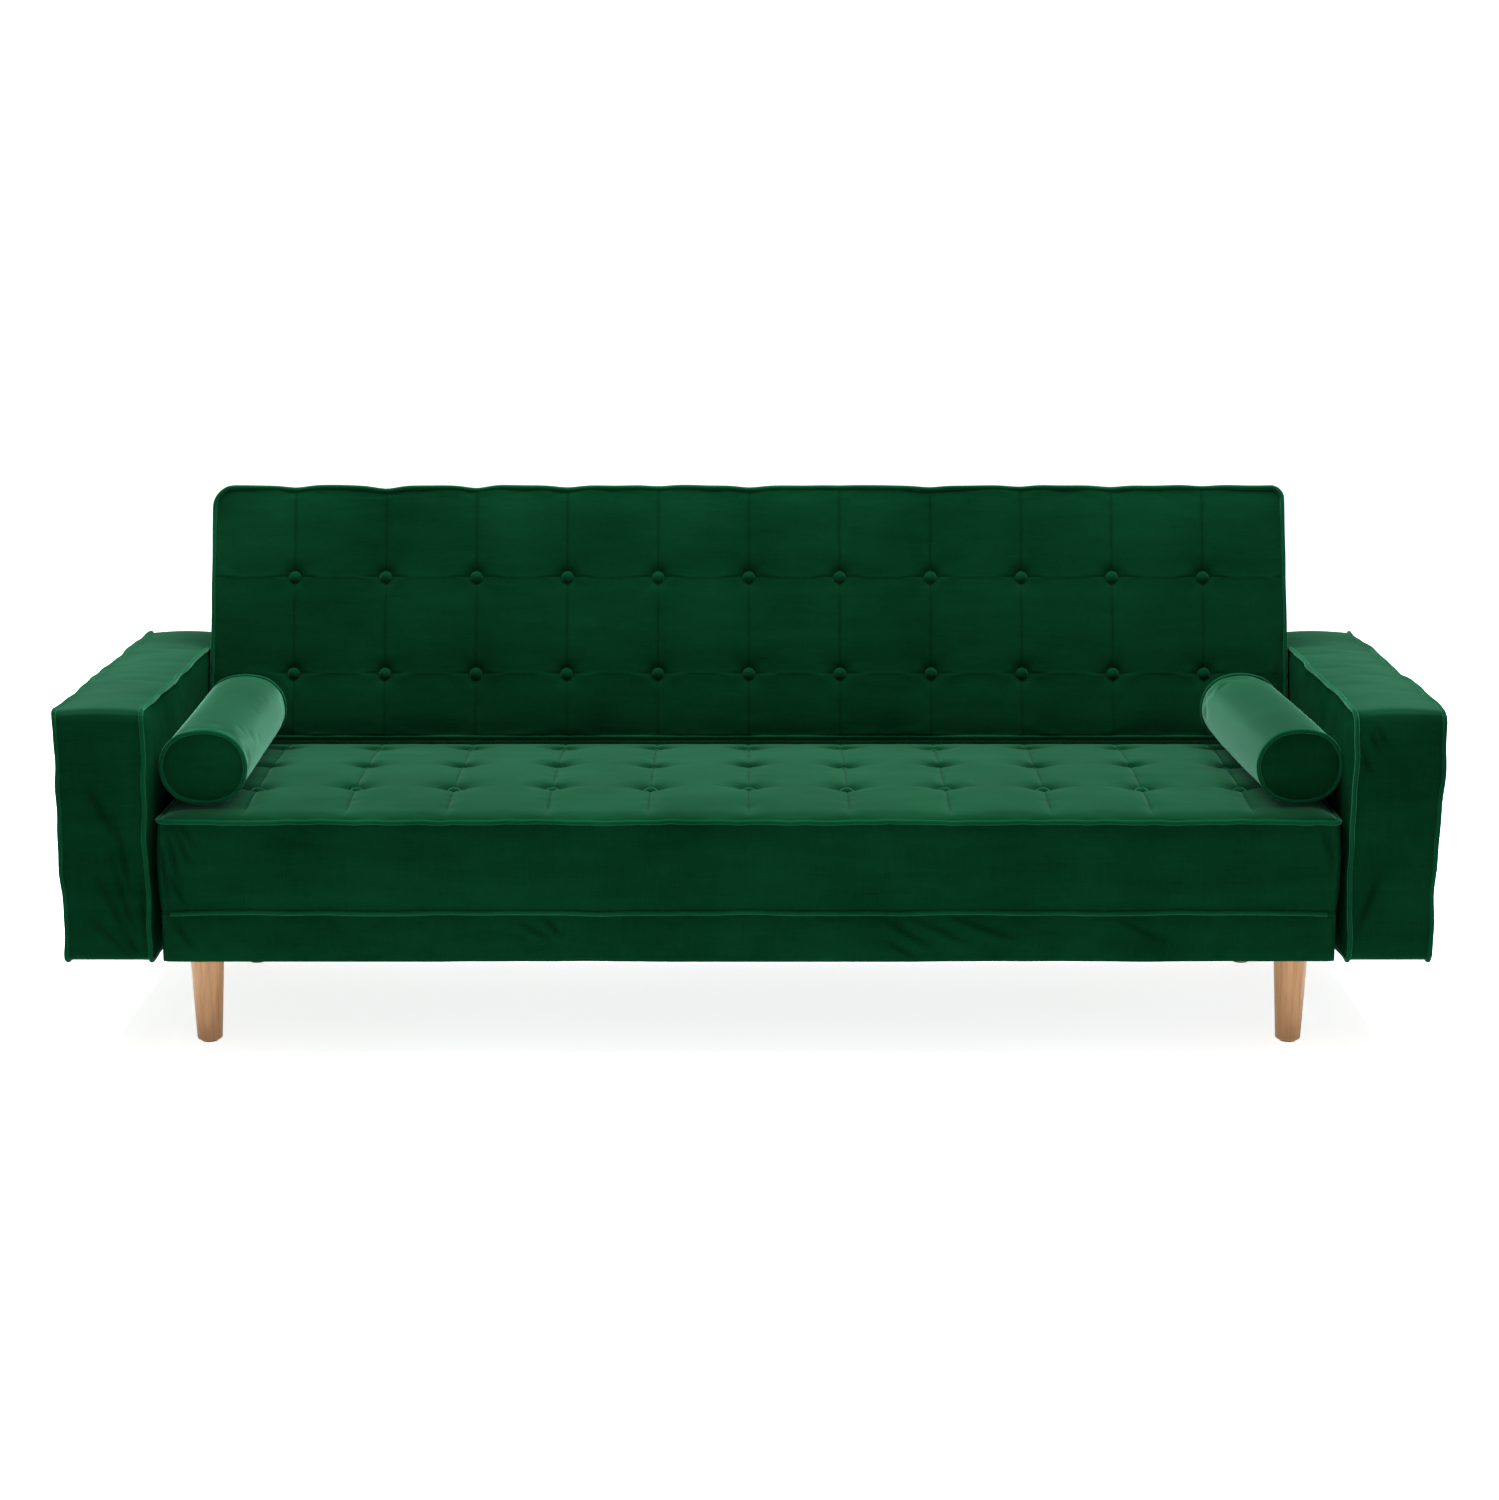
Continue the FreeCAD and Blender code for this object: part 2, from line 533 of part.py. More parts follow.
def back_parts():
    x, y0, y1 = BACK_RAIL_X, BACK_FRAME_Y0, BACK_FRAME_Y1
    z0, z1 = BACK_SIDE, BACK_LENGTH - BACK_SIDE
    inside = back_inside()

    def fitted(shape):
        return shape.common(inside).Solids[0]

    made = {"back_cover": [back_cover()]}
    made["back_foam"] = [fitted(box(-x, x, QUILT, y0 - 9, z0, z1))]
    made["back_bottom_rail"] = [fitted(box(-x, x, y0, y1, z0, z0 + TIMBER))]
    made["back_top_rail"] = [fitted(box(-x, x, y0, y1, z1 - TIMBER, z1))]
    end = fitted(box(x - TIMBER, x, y0, y1, z0 + TIMBER, z1 - TIMBER))
    end = cut(end, *[bolt_hole(x - 50, x + 5, y, z) for y, z in BACK_PLATE_BOLTS])
    made["back_end_rails"] = [end, mirror_x(end)]
    slat = box(-TIMBER / 2, TIMBER / 2, y0 + 12, y1, z0 + TIMBER, z1 - TIMBER)
    made["back_slats"] = [slat.translated(Vector(dx, 0, 0)) for dx in (-450, 0, 450)]
    lining = back_outline(x, z0, z1, 3, BACK_CORNER_R - BACK_SIDE, y1)
    made["back_lining"] = [Part.Face(lining).extrude(Vector(0, 2, 0))]
    low, high = z0 + TIMBER / 2, z1 - TIMBER / 2
    spring = zigzag_spring(low, high, 4)
    clips = [spring_clip(z, 0) for z in (low, high)]
    springs, held = [], []
    for dx in spring_positions():
        for source, target in [(spring, springs)] + [(c, held) for c in clips]:
            piece = source.copy()
            piece.rotate(Vector(0, 0, 0), Vector(1, 0, 0), 90)
            piece.translate(Vector(dx, y0, 0))
            target.append(piece)
    made["back_springs"] = springs
    made["back_spring_clips"] = held
    made["back_piping"] = [tube(back_piping_loop(), PIPING_R)]
    buttons = []
    for cx in column_positions():
        for cz in BACK_ROWS:
            piece = button(0, 0)
            piece.rotate(Vector(0, 0, 0), Vector(1, 0, 0), 90)
            piece.translate(Vector(cx, BUTTON_SINK, cz))
            buttons.append(piece)
    made["back_buttons"] = buttons
    return made


# ---- folding hinges -----------------------------------------------------------------
PAWL_ARM_Y = -36.0          # the pawl's rivet, from the hinge axis
PAWL_ARM_Z = -46.0
PAWL_NOSE_Y = -31.2         # end of its nose, clear of the ratchet
PAWL_NOSE_Z = (-4.5, 0.5)
PAWL_TURN = 6.0             # degrees from clear to seated in a notch
NOTCH_MIDDLE = 185.5        # angle of the nose round the hinge axis, from +Y
NOTCH_HALF = 8.0
PAWL_RIVET_R = 4.0


def notch(low, high):
    """The gap between two ratchet teeth, in the moving plate's layer, round (0, 0)."""
    points = []
    for r, angle in ((RATCHET_ROOT_R, low), (RATCHET_R + 3, low),
                     (RATCHET_R + 3, high), (RATCHET_ROOT_R, high)):
        a = math.radians(angle)
        points.append((r * math.cos(a), r * math.sin(a)))
    return prism(points, MOVING_PLATE_X - 1, MOVING_PLATE_X + STEEL + 1)


def ratchet():
    """Toothed disc round (0, 0), drawn as it stands with the back at rest."""
    x0, x1 = MOVING_PLATE_X, MOVING_PLATE_X + STEEL
    disc = rod(x0, x1, 0, 0, RATCHET_R)
    low, high = NOTCH_MIDDLE - NOTCH_HALF, NOTCH_MIDDLE + NOTCH_HALF
    disc = cut(disc, notch(low - RELEASE_ANGLE, high))
    for angle in (LOUNGE_ANGLE, FLAT_ANGLE):
        disc = cut(disc, notch(low + angle, high + angle))
    return disc


def back_hinge_plate():
    """The moving plate, in place at rest."""
    x0, x1 = MOVING_PLATE_X, MOVING_PLATE_X + STEEL
    arm = lean_back(back_plate_blank(0, x0, x1))
    plate = arm.cut(rod(x0 - 1, x1 + 1, PIVOT_Y, PIVOT_Z, RATCHET_ROOT_R - 1))
    plate = fuse(plate, ratchet().translated(Vector(0, PIVOT_Y, PIVOT_Z)))
    holes = [lean_back(rod(x0 - 1, x1 + 1, y, z, BOLT_R + BOLT_CLEARANCE))
             for y, z in BACK_PLATE_BOLTS]
    return cut(plate, rod(x0 - 1, x1 + 1, PIVOT_Y, PIVOT_Z, PIVOT_R + RUNNING_GAP), *holes)


def seat_hinge_plate():
    x0, x1 = SEAT_PLATE_X, SEAT_PLATE_X + STEEL
    upper, lower = SEAT_PLATE_BOLTS
    plate = fuse(strap((PIVOT_Y, PIVOT_Z), upper, 20, 22, x0, x1),
                 strap(upper, lower, 22, 20, x0, x1))
    rivet = (PIVOT_Y + PAWL_ARM_Y, PIVOT_Z + PAWL_ARM_Z)
    return cut(plate, rod(x0 - 1, x1 + 1, PIVOT_Y, PIVOT_Z, PIVOT_R + RUNNING_GAP),
               rod(x0 - 1, x1 + 1, *rivet, PAWL_RIVET_R),
               *[bolt_hole(x0 - 1, x1 + 1, y, z) for y, z in SEAT_PLATE_BOLTS])


def pawl():
    x0, x1 = MOVING_PLATE_X, MOVING_PLATE_X + STEEL
    rivet = (PAWL_ARM_Y, PAWL_ARM_Z)
    lever = strap(rivet, (-42.0, -2.0), 8, 5, x0, x1)
    nose = box(x0, x1, -42.0, PAWL_NOSE_Y, *PAWL_NOSE_Z)
    made = fuse(lever, nose)
    made = cut(made, rod(x0 - 1, x1 + 1, *rivet, PAWL_RIVET_R + RUNNING_GAP))
    return made.translated(Vector(0, PIVOT_Y, PIVOT_Z))


def pawl_spring():
    """A flat spring fixed to the seat plate, bent over the pawl's back."""
    x0, x1 = MOVING_PLATE_X, MOVING_PLATE_X + STEEL
    y, z = PIVOT_Y + PAWL_ARM_Y - 16, PIVOT_Z + PAWL_ARM_Z - 34
    leaf = box(x0, x1, y, y + 1.2, z, z + 62)
    foot = box(x0, x1, y + 1.2, y + 14, z, z + 4)
    return fuse(leaf, foot)


def hinges():
    x0 = MOVING_PLATE_X
    x1 = x0 + STEEL
    for side, flip in (("right", lambda s: s), ("left", mirror_x)):
        add(f"hinge_seat_plate_{side}", flip(seat_hinge_plate()))
        add(f"hinge_back_plate_{side}", flip(back_hinge_plate()))
        add(f"hinge_pawl_{side}", flip(pawl()))
    pin = fuse(rod(SEAT_PLATE_X - 2.5, x1 + 4, PIVOT_Y, PIVOT_Z, PIVOT_R),
               rod(SEAT_PLATE_X - 2.5, SEAT_PLATE_X, PIVOT_Y, PIVOT_Z, 10),
               rod(x1 + 0.3, x1 + 4, PIVOT_Y, PIVOT_Z, 10))
    add("hinge_pivot_pins", pin, mirror_x(pin))
    rivet_y, rivet_z = PIVOT_Y + PAWL_ARM_Y, PIVOT_Z + PAWL_ARM_Z
    rivet = fuse(rod(SEAT_PLATE_X, x1 + 2.5, rivet_y, rivet_z, PAWL_RIVET_R),
                 rod(x1 + 0.3, x1 + 2.5, rivet_y, rivet_z, 6.5))
    add("hinge_pawl_rivets", rivet, mirror_x(rivet))
    add("hinge_pawl_springs", pawl_spring(), mirror_x(pawl_spring()))
    fixed = []
    for y, z in SEAT_PLATE_BOLTS:
        head_x = RAIL_X - TIMBER
        fixed.append(bolt(head_x, SEAT_PLATE_X + STEEL + 9, y, z, 7.0, 5.0,
                          SEAT_PLATE_X + STEEL, 6.0))
    add("hinge_seat_bolts", *fixed, *[mirror_x(b) for b in fixed])
    moving = []
    for y, z in BACK_PLATE_BOLTS:
        shank = bolt(x0 - TIMBER - 6, x1, y, z, BOLT_R, 4.0, x0 - TIMBER - 6, 6.0)
        moving.append(lean_back(shank))
    add("hinge_back_bolts", *moving, *[mirror_x(b) for b in moving])


# ---- bolsters -----------------------------------------------------------------------
def stadium_loop(flat, r, y):
    """A closed wire in a plane across Y: two straight runs and two half turns."""
    lower = Part.LineSegment(Vector(-flat, y, -r), Vector(flat, y, -r)).toShape()
    right = Part.Arc(Vector(flat, y, -r), Vector(flat + r, y, 0), Vector(flat, y, r)).toShape()
    upper = Part.LineSegment(Vector(flat, y, r), Vector(-flat, y, r)).toShape()
    left = Part.Arc(Vector(-flat, y, r), Vector(-flat - r, y, 0), Vector(-flat, y, -r)).toShape()
    return Part.Wire([lower, right, upper, left])


def stadium_bar(r, y0, y1):
    return Part.Face(stadium_loop(BOLSTER_FLAT, r, y0)).extrude(Vector(0, y1 - y0, 0))


def bolsters():
    r, size, skin = BOLSTER_R, BOLSTER_LENGTH, BOLSTER_COVER
    ends = (PIPING_INSET, size - PIPING_INSET)
    rings = [stadium_loop(BOLSTER_FLAT, r - PIPING_INSET, y) for y in ends]
    grooves = [tube(ring, PIPING_R + GROOVE_GAP) for ring in rings]
    outer = cut(stadium_bar(r, 0, size), *grooves)
    core = stadium_bar(r - 2 * skin, 2 * skin, size - 2 * skin)
    sleeve_gap = stadium_bar(r - 2 * skin, -1, size + 1)
    sleeve = outer.cut(sleeve_gap)
    caps = [outer.common(stadium_bar(r - 2 * skin, *span))
            for span in ((-1, 2 * skin), (size - 2 * skin, size + 1))]
    pieces = {"cover": [sleeve] + caps, "core": [core],
              "piping": [tube(ring, PIPING_R) for ring in rings]}
    for side, (x, y, turn) in BOLSTERS.items():
        for name, solids in pieces.items():
            placed = []
            for s in solids:
                s = s.copy()
                s.rotate(Vector(0, 0, 0), Vector(0, 0, 1), turn)
                lift = SEAT_TOP_Z + BOLSTER_REST_GAP + r + PIPING_R - PIPING_INSET
                s.translate(Vector(x, y, lift))
                placed.append(s)
            add(f"bolster_{side}_{name}", *placed)


# ---- everything ---------------------------------------------------------------------
def main():
    base_frame()
    legs()
    seat_springs()
    seat_soft_parts()
    arms()
    for name, solids in back_parts().items():
        add(name, *[lean_back(s) for s in solids])
    hinges()
    bolsters()
    os.makedirs("parts", exist_ok=True)
    for old in os.listdir("parts"):
        os.remove(os.path.join("parts", old))
    for name, shape in parts.items():
        shape.translated(Vector(0, Y_SHIFT, 0)).exportStep(f"parts/{name}.step")
    print(len(parts), "nodes, y shift", round(Y_SHIFT, 3), "mm; hinge axis at y",
          round(PIVOT_Y + Y_SHIFT, 3), "z", PIVOT_Z)


main()
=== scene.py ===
"""Three-seat click-clack sofa bed in green velvet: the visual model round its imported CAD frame."""
import json
import math

import bmesh
import bpy
import numpy as np
from mathutils import Matrix, Vector


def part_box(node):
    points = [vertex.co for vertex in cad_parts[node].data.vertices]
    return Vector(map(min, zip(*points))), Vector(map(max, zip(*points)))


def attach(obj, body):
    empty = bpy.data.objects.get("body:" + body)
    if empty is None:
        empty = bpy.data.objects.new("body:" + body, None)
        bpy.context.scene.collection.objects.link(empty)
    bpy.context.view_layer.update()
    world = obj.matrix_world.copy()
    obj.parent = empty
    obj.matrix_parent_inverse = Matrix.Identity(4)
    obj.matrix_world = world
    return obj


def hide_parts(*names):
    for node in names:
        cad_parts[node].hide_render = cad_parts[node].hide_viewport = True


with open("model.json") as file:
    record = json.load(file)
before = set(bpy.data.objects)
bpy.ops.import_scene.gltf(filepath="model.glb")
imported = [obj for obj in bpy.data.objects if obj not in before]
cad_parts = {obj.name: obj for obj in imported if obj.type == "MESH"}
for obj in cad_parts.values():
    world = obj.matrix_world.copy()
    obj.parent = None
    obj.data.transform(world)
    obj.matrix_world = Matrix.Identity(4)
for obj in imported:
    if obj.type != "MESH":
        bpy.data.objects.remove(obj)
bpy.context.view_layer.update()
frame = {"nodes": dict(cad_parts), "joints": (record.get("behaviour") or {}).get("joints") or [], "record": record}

SCENE = bpy.context.scene
SCENE.view_settings.view_transform = "Standard"

# ---- sizes, in metres ---------------------------------------------------------------
PIPING_R = 0.0038
COLUMNS = 11
BUTTON_R = 0.0112
BUTTON_EDGE = 0.012  # from the end of a row of buttons to the middle of its last one
BUTTON_HOLD = 0.0085  # the cloth is held this far round the middle of a button
SEAT_BUTTON_DEPTH = 0.0065  # the held cloth, below the top of the CAD seat
BACK_BUTTON_DEPTH = 0.0030  # the same, behind the front of the CAD back
SEAT_DIMPLE = (0.015, 0.0085)
SEAT_BUTTON_PULL = 0.0110
SEAT_CORNER_R = 0.014
BAND_CORNER_R = 0.012
BACK_DIMPLE = (0.017, 0.015)
BACK_BUTTON_PULL = 0.0115
BACK_QUILT_RISE = 0.0095
BACK_CORNERS_R = (0.012, 0.012, 0.020, 0.034)  # from the lower left one, anticlockwise
ARM_CORNERS_R = (0.016, 0.014, 0.020, 0.020)  # from the lower front one
ARM_LEAN = {"left": 0.010, "right": 0.028}  # outwards, as a share of the height
SEAM_GROOVE = 0.0022  # half width of the groove along a stitched line
BACK_TILT = math.radians(17.0)
BACK_LENGTH = 0.427
BACK_ROWS = (0.107, 0.272)
PIVOT_BELOW_FACE = 0.046
PIVOT_TO_EDGE = 0.044
BOLSTER_TURN = {"left": math.radians(1.1), "right": math.radians(2.5)}
BOLSTER_RISE = math.radians(0.65)  # they lie on the crown of the seat
BOLSTER_LENGTH = 0.460
BOLSTER_R = 0.056
BOLSTER_FLAT = 0.009
BOLSTER_SINK = 0.0020  # they may press into the seat this far
TUCK_DEPTH = 0.500  # behind this depth the seat runs on under the back
WELT_DEPTH = 0.532  # the piping round the seat stops here

SEAT_LO, SEAT_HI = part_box("seat_cover")
BAND_LO, BAND_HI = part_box("seat_base_band")
SEAT_SEAM = SEAT_HI.z - 0.018
PIVOT = Vector(next(j["pos_m"] for j in frame["joints"] if j["name"] == "back_recline"))


# ---- small helpers ------------------------------------------------------------------
def waver(s, seed, waves=((0.31, 1.0), (0.17, 0.6), (0.083, 0.35))):
    """A smooth uneven line: a few sine waves of different lengths, about 1 high."""
    rng = np.random.default_rng(seed)
    total = np.zeros_like(np.asarray(s, float))
    for length, height in waves:
        total += height * np.sin(2 * math.pi * np.asarray(s) / (length * rng.uniform(0.85, 1.2))
                                 + rng.uniform(0, 6.28))
    return total / sum(height for _, height in waves)


def waver_2d(u, v, seed, size=0.2):
    """The same over a surface."""
    rng = np.random.default_rng(seed)
    total = np.zeros_like(u)
    for k in range(7):
        turn = rng.uniform(0, math.pi)
        length = size * rng.uniform(0.45, 1.3)
        along = u * math.cos(turn) + v * math.sin(turn)
        total += np.sin(2 * math.pi * along / length + rng.uniform(0, 6.28))
    return total / 4


def smooth(x):
    x = np.clip(x, 0, 1)
    return x * x * (3 - 2 * x)


def bell(x, width):
    return np.exp(-((x / width) ** 2))


def mesh_object(name, points, faces):
    mesh = bpy.data.meshes.new(name)
    mesh.from_pydata([tuple(p) for p in points], [], [tuple(f) for f in faces])
    mesh.validate()
    mesh.polygons.foreach_set("use_smooth", [True] * len(mesh.polygons))
    mesh.update()
    obj = bpy.data.objects.new(name, mesh)
    SCENE.collection.objects.link(obj)
    return obj


def store_painted_shade(obj, amount):
    """Stores painted shade: how deep in a seam or dimple each point lies, which darkens the cloth's colour."""
    layer = obj.data.attributes.new("painted_crease_shade", "FLOAT", "POINT")
    layer.data.foreach_set("value", np.clip(amount, 0, 1).astype(np.float32))


def coords(mesh):
    co = np.empty(len(mesh.vertices) * 3)
    mesh.vertices.foreach_get("co", co)
    return co.reshape(-1, 3)


def set_coords(mesh, co):
    mesh.vertices.foreach_set("co", np.asarray(co, float).reshape(-1))
    mesh.update()


def placed(own, place):
    """Points in a piece's own frame, turned into the shared one."""
    return own @ place[:3, :3].T + place[:3, 3]


def unplaced(world, place):
    return (world - place[:3, 3]) @ place[:3, :3]


def normals(mesh):
    out = np.empty(len(mesh.vertices) * 3)
    mesh.vertices.foreach_get("normal", out)
    return out.reshape(-1, 3)


def grid_lines(lo, hi, step, marks=(), near=(0.0014, 0.0045), edge=(0.004, 0.009, 0.016)):
    """Grid lines from lo to hi, closer together at both ends and beside each mark."""
    knots = {lo, hi} | {lo + e for e in edge} | {hi - e for e in edge} | set(marks)
    knots |= {m + side * n for m in marks for n in near for side in (-1, 1)}
    knots = sorted(round(k, 6) for k in knots)
    lines = [knots[0]]
    for p, q in zip(knots, knots[1:]):
        count = max(1, round((q - p) / step))
        lines += [p + (q - p) * t / count for t in range(1, count + 1)]
    return np.array(lines)


def block(a, b, c, low_cap, high_cap):
    """The surface of a box of grid lines. Returns line numbers (n, 3) and faces. An end that
    isn't asked for as a grid stays open until subdivided() closes it."""
    na, nb, nc = len(a), len(b), len(c)
    key, numbers, faces = {}, [], []

    def at(i, j, k):
        if (i, j, k) not in key:
            key[(i, j, k)] = len(numbers)
            numbers.append((i, j, k))
        return key[(i, j, k)]

    def quad(p, q, r, s, flip):
        faces.append((at(*p), at(*q), at(*r), at(*s)) if not flip
                     else (at(*s), at(*r), at(*q), at(*p)))

    for k, wanted in ((0, low_cap), (nc - 1, high_cap)):
        flip = k > 0
        if wanted:
            for i in range(na - 1):
                for j in range(nb - 1):
                    quad((i, j, k), (i, j + 1, k), (i + 1, j + 1, k), (i + 1, j, k), flip)
    for k in range(nc - 1):
        for j in range(nb - 1):
            quad((0, j, k), (0, j, k + 1), (0, j + 1, k + 1), (0, j + 1, k), False)
            n = na - 1
            quad((n, j, k), (n, j, k + 1), (n, j + 1, k + 1), (n, j + 1, k), True)
        for i in range(na - 1):
            quad((i, 0, k), (i + 1, 0, k), (i + 1, 0, k + 1), (i, 0, k + 1), False)
            n = nb - 1
            quad((i, n, k), (i + 1, n, k), (i + 1, n, k + 1), (i, n, k + 1), True)
    return np.array(numbers), faces


def round_corners(a, b, lo_a, hi_a, lo_b, hi_b, radii):
    """Bends the square corners of an outline into arcs. radii run from (lo, lo) anticlockwise."""
    a, b = a.copy(), b.copy()
    corners = ((lo_a, lo_b, 1, 1), (hi_a, lo_b, -1, 1), (hi_a, hi_b, -1, -1), (lo_a, hi_b, 1, -1))
    for (ca, cb, sa, sb), r in zip(corners, radii):
        da, db = ca + sa * r - a, cb + sb * r - b
        inside = (da * sa > 0) & (db * sb > 0)
        biggest = np.maximum(abs(da), abs(db))
        length = np.maximum(np.hypot(da, db), 1e-9)
        k = np.where(inside, biggest / length, 1.0)
        a = np.where(inside, ca + sa * r - da * k, a)
        b = np.where(inside, cb + sb * r - db * k, b)
    return a, b


def rim_numbers(na, nb, k, numbers):
    """Vertex indices of the closed ring of boundary lines at level k, in order."""
    look = {tuple(n): i for i, n in enumerate(numbers)}
    rim = [(i, 0, k) for i in range(na - 1)] + [(na - 1, j, k) for j in range(nb - 1)]
    rim += [(i, nb - 1, k) for i in range(na - 1, 0, -1)]
    rim += [(0, j, k) for j in range(nb - 1, 0, -1)]
    return [look[p] for p in rim]


def tube(line, r, closed, sides=10):
    """Piping: a round bar of radius r along a line of points."""
    line = np.asarray(line, float)
    if closed:
        ahead, behind = np.roll(line, -1, 0), np.roll(line, 1, 0)
    else:
        ahead, behind = np.vstack([line[1:], line[-1:]]), np.vstack([line[:1], line[:-1]])
    along = ahead - behind
    along /= np.linalg.norm(along, axis=1)[:, None]
    across = np.cross(along[0], (0.3, 0.5, 0.8))
    rings = []
    for p, t in zip(line, along):
        across = across - t * across.dot(t)
        across = across / np.linalg.norm(across)
        other = np.cross(t, across)
        for s in range(sides):
            turn = 2 * math.pi * s / sides
            rings.append(p + r * (math.cos(turn) * across + math.sin(turn) * other))
    n = len(line)
    faces = []
    for i in range(n if closed else n - 1):
        j = (i + 1) % n
        shift = 0
        if closed and i == n - 1:
            gaps = [np.linalg.norm(rings[i * sides] - rings[s]) for s in range(sides)]
            shift = int(np.argmin(gaps))
        for s in range(sides):
            t = (s + 1) % sides
            faces.append((i * sides + s, i * sides + t,
                          j * sides + (t + shift) % sides, j * sides + (s + shift) % sides))
    if not closed:
        faces += [tuple(range(sides))[::-1], tuple((n - 1) * sides + s for s in range(sides))]
    return rings, faces


def joined(name, parts, body, nodes):
    """One object out of several lists of points and faces."""
    points, faces = [], []
    for some_points, some_faces in parts:
        base = len(points)
        points += [tuple(p) for p in some_points]
        faces += [tuple(base + i for i in f) for f in some_faces]
    obj = mesh_object(name, points, faces)
    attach(obj, body)
    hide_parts(*nodes)
    return obj


def denser(line, closed, times=3):
    """The same line with more points, through a Catmull-Rom curve."""
    line = np.asarray(line, float)
    n = len(line)
    out = []
    for i in range(n if closed else n - 1):
        if closed:
            p = [line[(i + d) % n] for d in (-1, 0, 1, 2)]
        else:
            p = [line[min(max(i + d, 0), n - 1)] for d in (-1, 0, 1, 2)]
        for t in np.arange(times) / times:
            out.append(0.5 * (2 * p[1] + (p[2] - p[0]) * t
                              + (2 * p[0] - 5 * p[1] + 4 * p[2] - p[3]) * t * t
                              + (3 * p[1] - p[0] - 3 * p[2] + p[3]) * t ** 3))
    if not closed:
        out.append(line[-1])
    return np.array(out)


# ---- cloth --------------------------------------------------------------------------
JOBS = []


def soft(obj, held, cap, pressure=4.0, grow=0.015, bending=0.5, limit=None):
    """Queues a mesh to be inflated. held is how firmly each point stays, cap how far one
    may move, and limit a function that mends the points afterwards."""
    JOBS.append({"obj": obj, "held": held, "cap": cap, "pressure": pressure, "grow": grow,
                 "bending": bending, "limit": limit})


def inflate_all(frames=20):
    """Steps every queued cloth together, then keeps the result and removes the cloth."""
    for job in JOBS:
        obj, held = job["obj"], np.round(job["held"], 2)
        job["start"] = coords(obj.data)
        group = obj.vertex_groups.new(name="held")
        for weight in np.unique(held):
            if weight > 0:
                which = np.nonzero(held == weight)[0].tolist()
                group.add(which, float(weight), "REPLACE")
        cloth = obj.modifiers.new("cloth", "CLOTH")
        s = cloth.settings
        s.quality = 5
        s.mass = 0.3
        s.tension_stiffness = s.compression_stiffness = 15
        s.shear_stiffness = 5
        s.bending_stiffness = job["bending"]
        s.use_pressure = True
        s.uniform_pressure_force = job["pressure"]
        s.shrink_min = -job["grow"]
        s.vertex_group_mass = "held"
        s.pin_stiffness = 1.0
        s.effector_weights.gravity = 0
        cloth.collision_settings.use_collision = False
        cloth.point_cache.frame_start = 1
        cloth.point_cache.frame_end = frames
    for f in range(1, frames + 1):
        SCENE.frame_set(f)
    graph = bpy.context.evaluated_depsgraph_get()
    for job in JOBS:
        obj = job["obj"]
        job["end"] = coords(obj.evaluated_get(graph).data)
    for job in JOBS:
        obj = job["obj"]
        obj.modifiers.clear()
        obj.vertex_groups.clear()
        moved = job["end"] - job["start"]
        far = np.linalg.norm(moved, axis=1)
        far = np.maximum(far, 1e-9)
        moved *= (np.minimum(far, job["cap"]) / far)[:, None]
        print("cloth", obj.name, "moved up to", round(float(far.max()), 4))
        end = job["start"] + moved
        if job["limit"] is not None:
            end = job["limit"](end)
        set_coords(obj.data, end)
    SCENE.frame_set(1)


def subdivided(obj):
    """Applies one level of subdivision, then closes the open ends with flat faces."""
    mod = obj.modifiers.new("finer", "SUBSURF")
    mod.levels = 1
    mod.render_levels = 1
    graph = bpy.context.evaluated_depsgraph_get()
    made = bpy.data.meshes.new_from_object(obj.evaluated_get(graph))
    obj.modifiers.clear()
    old = obj.data
    obj.data = made
    bpy.data.meshes.remove(old)
    bm = bmesh.new()
    bm.from_mesh(made)
    bmesh.ops.holes_fill(bm, edges=[e for e in bm.edges if e.is_boundary], sides=0)
    bmesh.ops.recalc_face_normals(bm, faces=bm.faces)
    bm.to_mesh(made)
    bm.free()
    made.polygons.foreach_set("use_smooth", [len(f.vertices) < 5 for f in made.polygons])
    made.update()


def fold(obj, start, end, width, height):
    """Raises a ridge in the cloth of a front face, or presses a crease with a negative height,
    from start to end. Beside a sharp one it adds painted shade."""
    co, nor = coords(obj.data), normals(obj.data)
    p, q = np.array(start, float), np.array(end, float)
    run = q - p
    size = np.linalg.norm(run)
    t = (co - p) @ run / size ** 2
    out = np.array((0, -1, 0), float)
    side = np.cross(run / size, out)
    off = (co - p - t[:, None] * run) @ side
    depth = (co - p - t[:, None] * run) @ out
    close = abs(depth) < 0.03
    swell = np.sin(math.pi * np.clip(t, 0, 1))
    weight = np.where((t > 0) & (t < 1), swell ** 0.7, 0)
    weight = weight * bell(off, width) * close
    weight = weight * np.clip((nor @ out - 0.3) / 0.4, 0, 1)
    set_coords(obj.data, co + nor * (weight * height)[:, None])
    layer = obj.data.attributes.get("painted_crease_shade")
    if layer is None:
        layer = obj.data.attributes.new("painted_crease_shade", "FLOAT", "POINT")
    dark = np.zeros(len(co), np.float32)
    layer.data.foreach_get("value", dark)
    shade = np.where((t > 0) & (t < 1), swell, 0)
    shade = shade * bell(off + math.copysign(width, height), width) * close
    shade = shade * (0.55 if width < 0.01 else 0.0)  # painted shade: only sharp folds are darker beside them
    layer.data.foreach_set("value", np.maximum(dark, shade).astype(np.float32))


# ---- materials ----------------------------------------------------------------------
SHEEN_TINT = (0.36, 1.0, 0.68, 1.0)
# The colour of the painted shade in seams, dimples, piped edges and beside folds.
PAINTED_SHADE_COLOUR = (0.0001, 0.0020, 0.0006)


def new_material(name):
    mat = bpy.data.materials.new(name)
    mat.use_nodes = True
    tree = mat.node_tree
    return mat, tree, tree.nodes["Principled BSDF"]


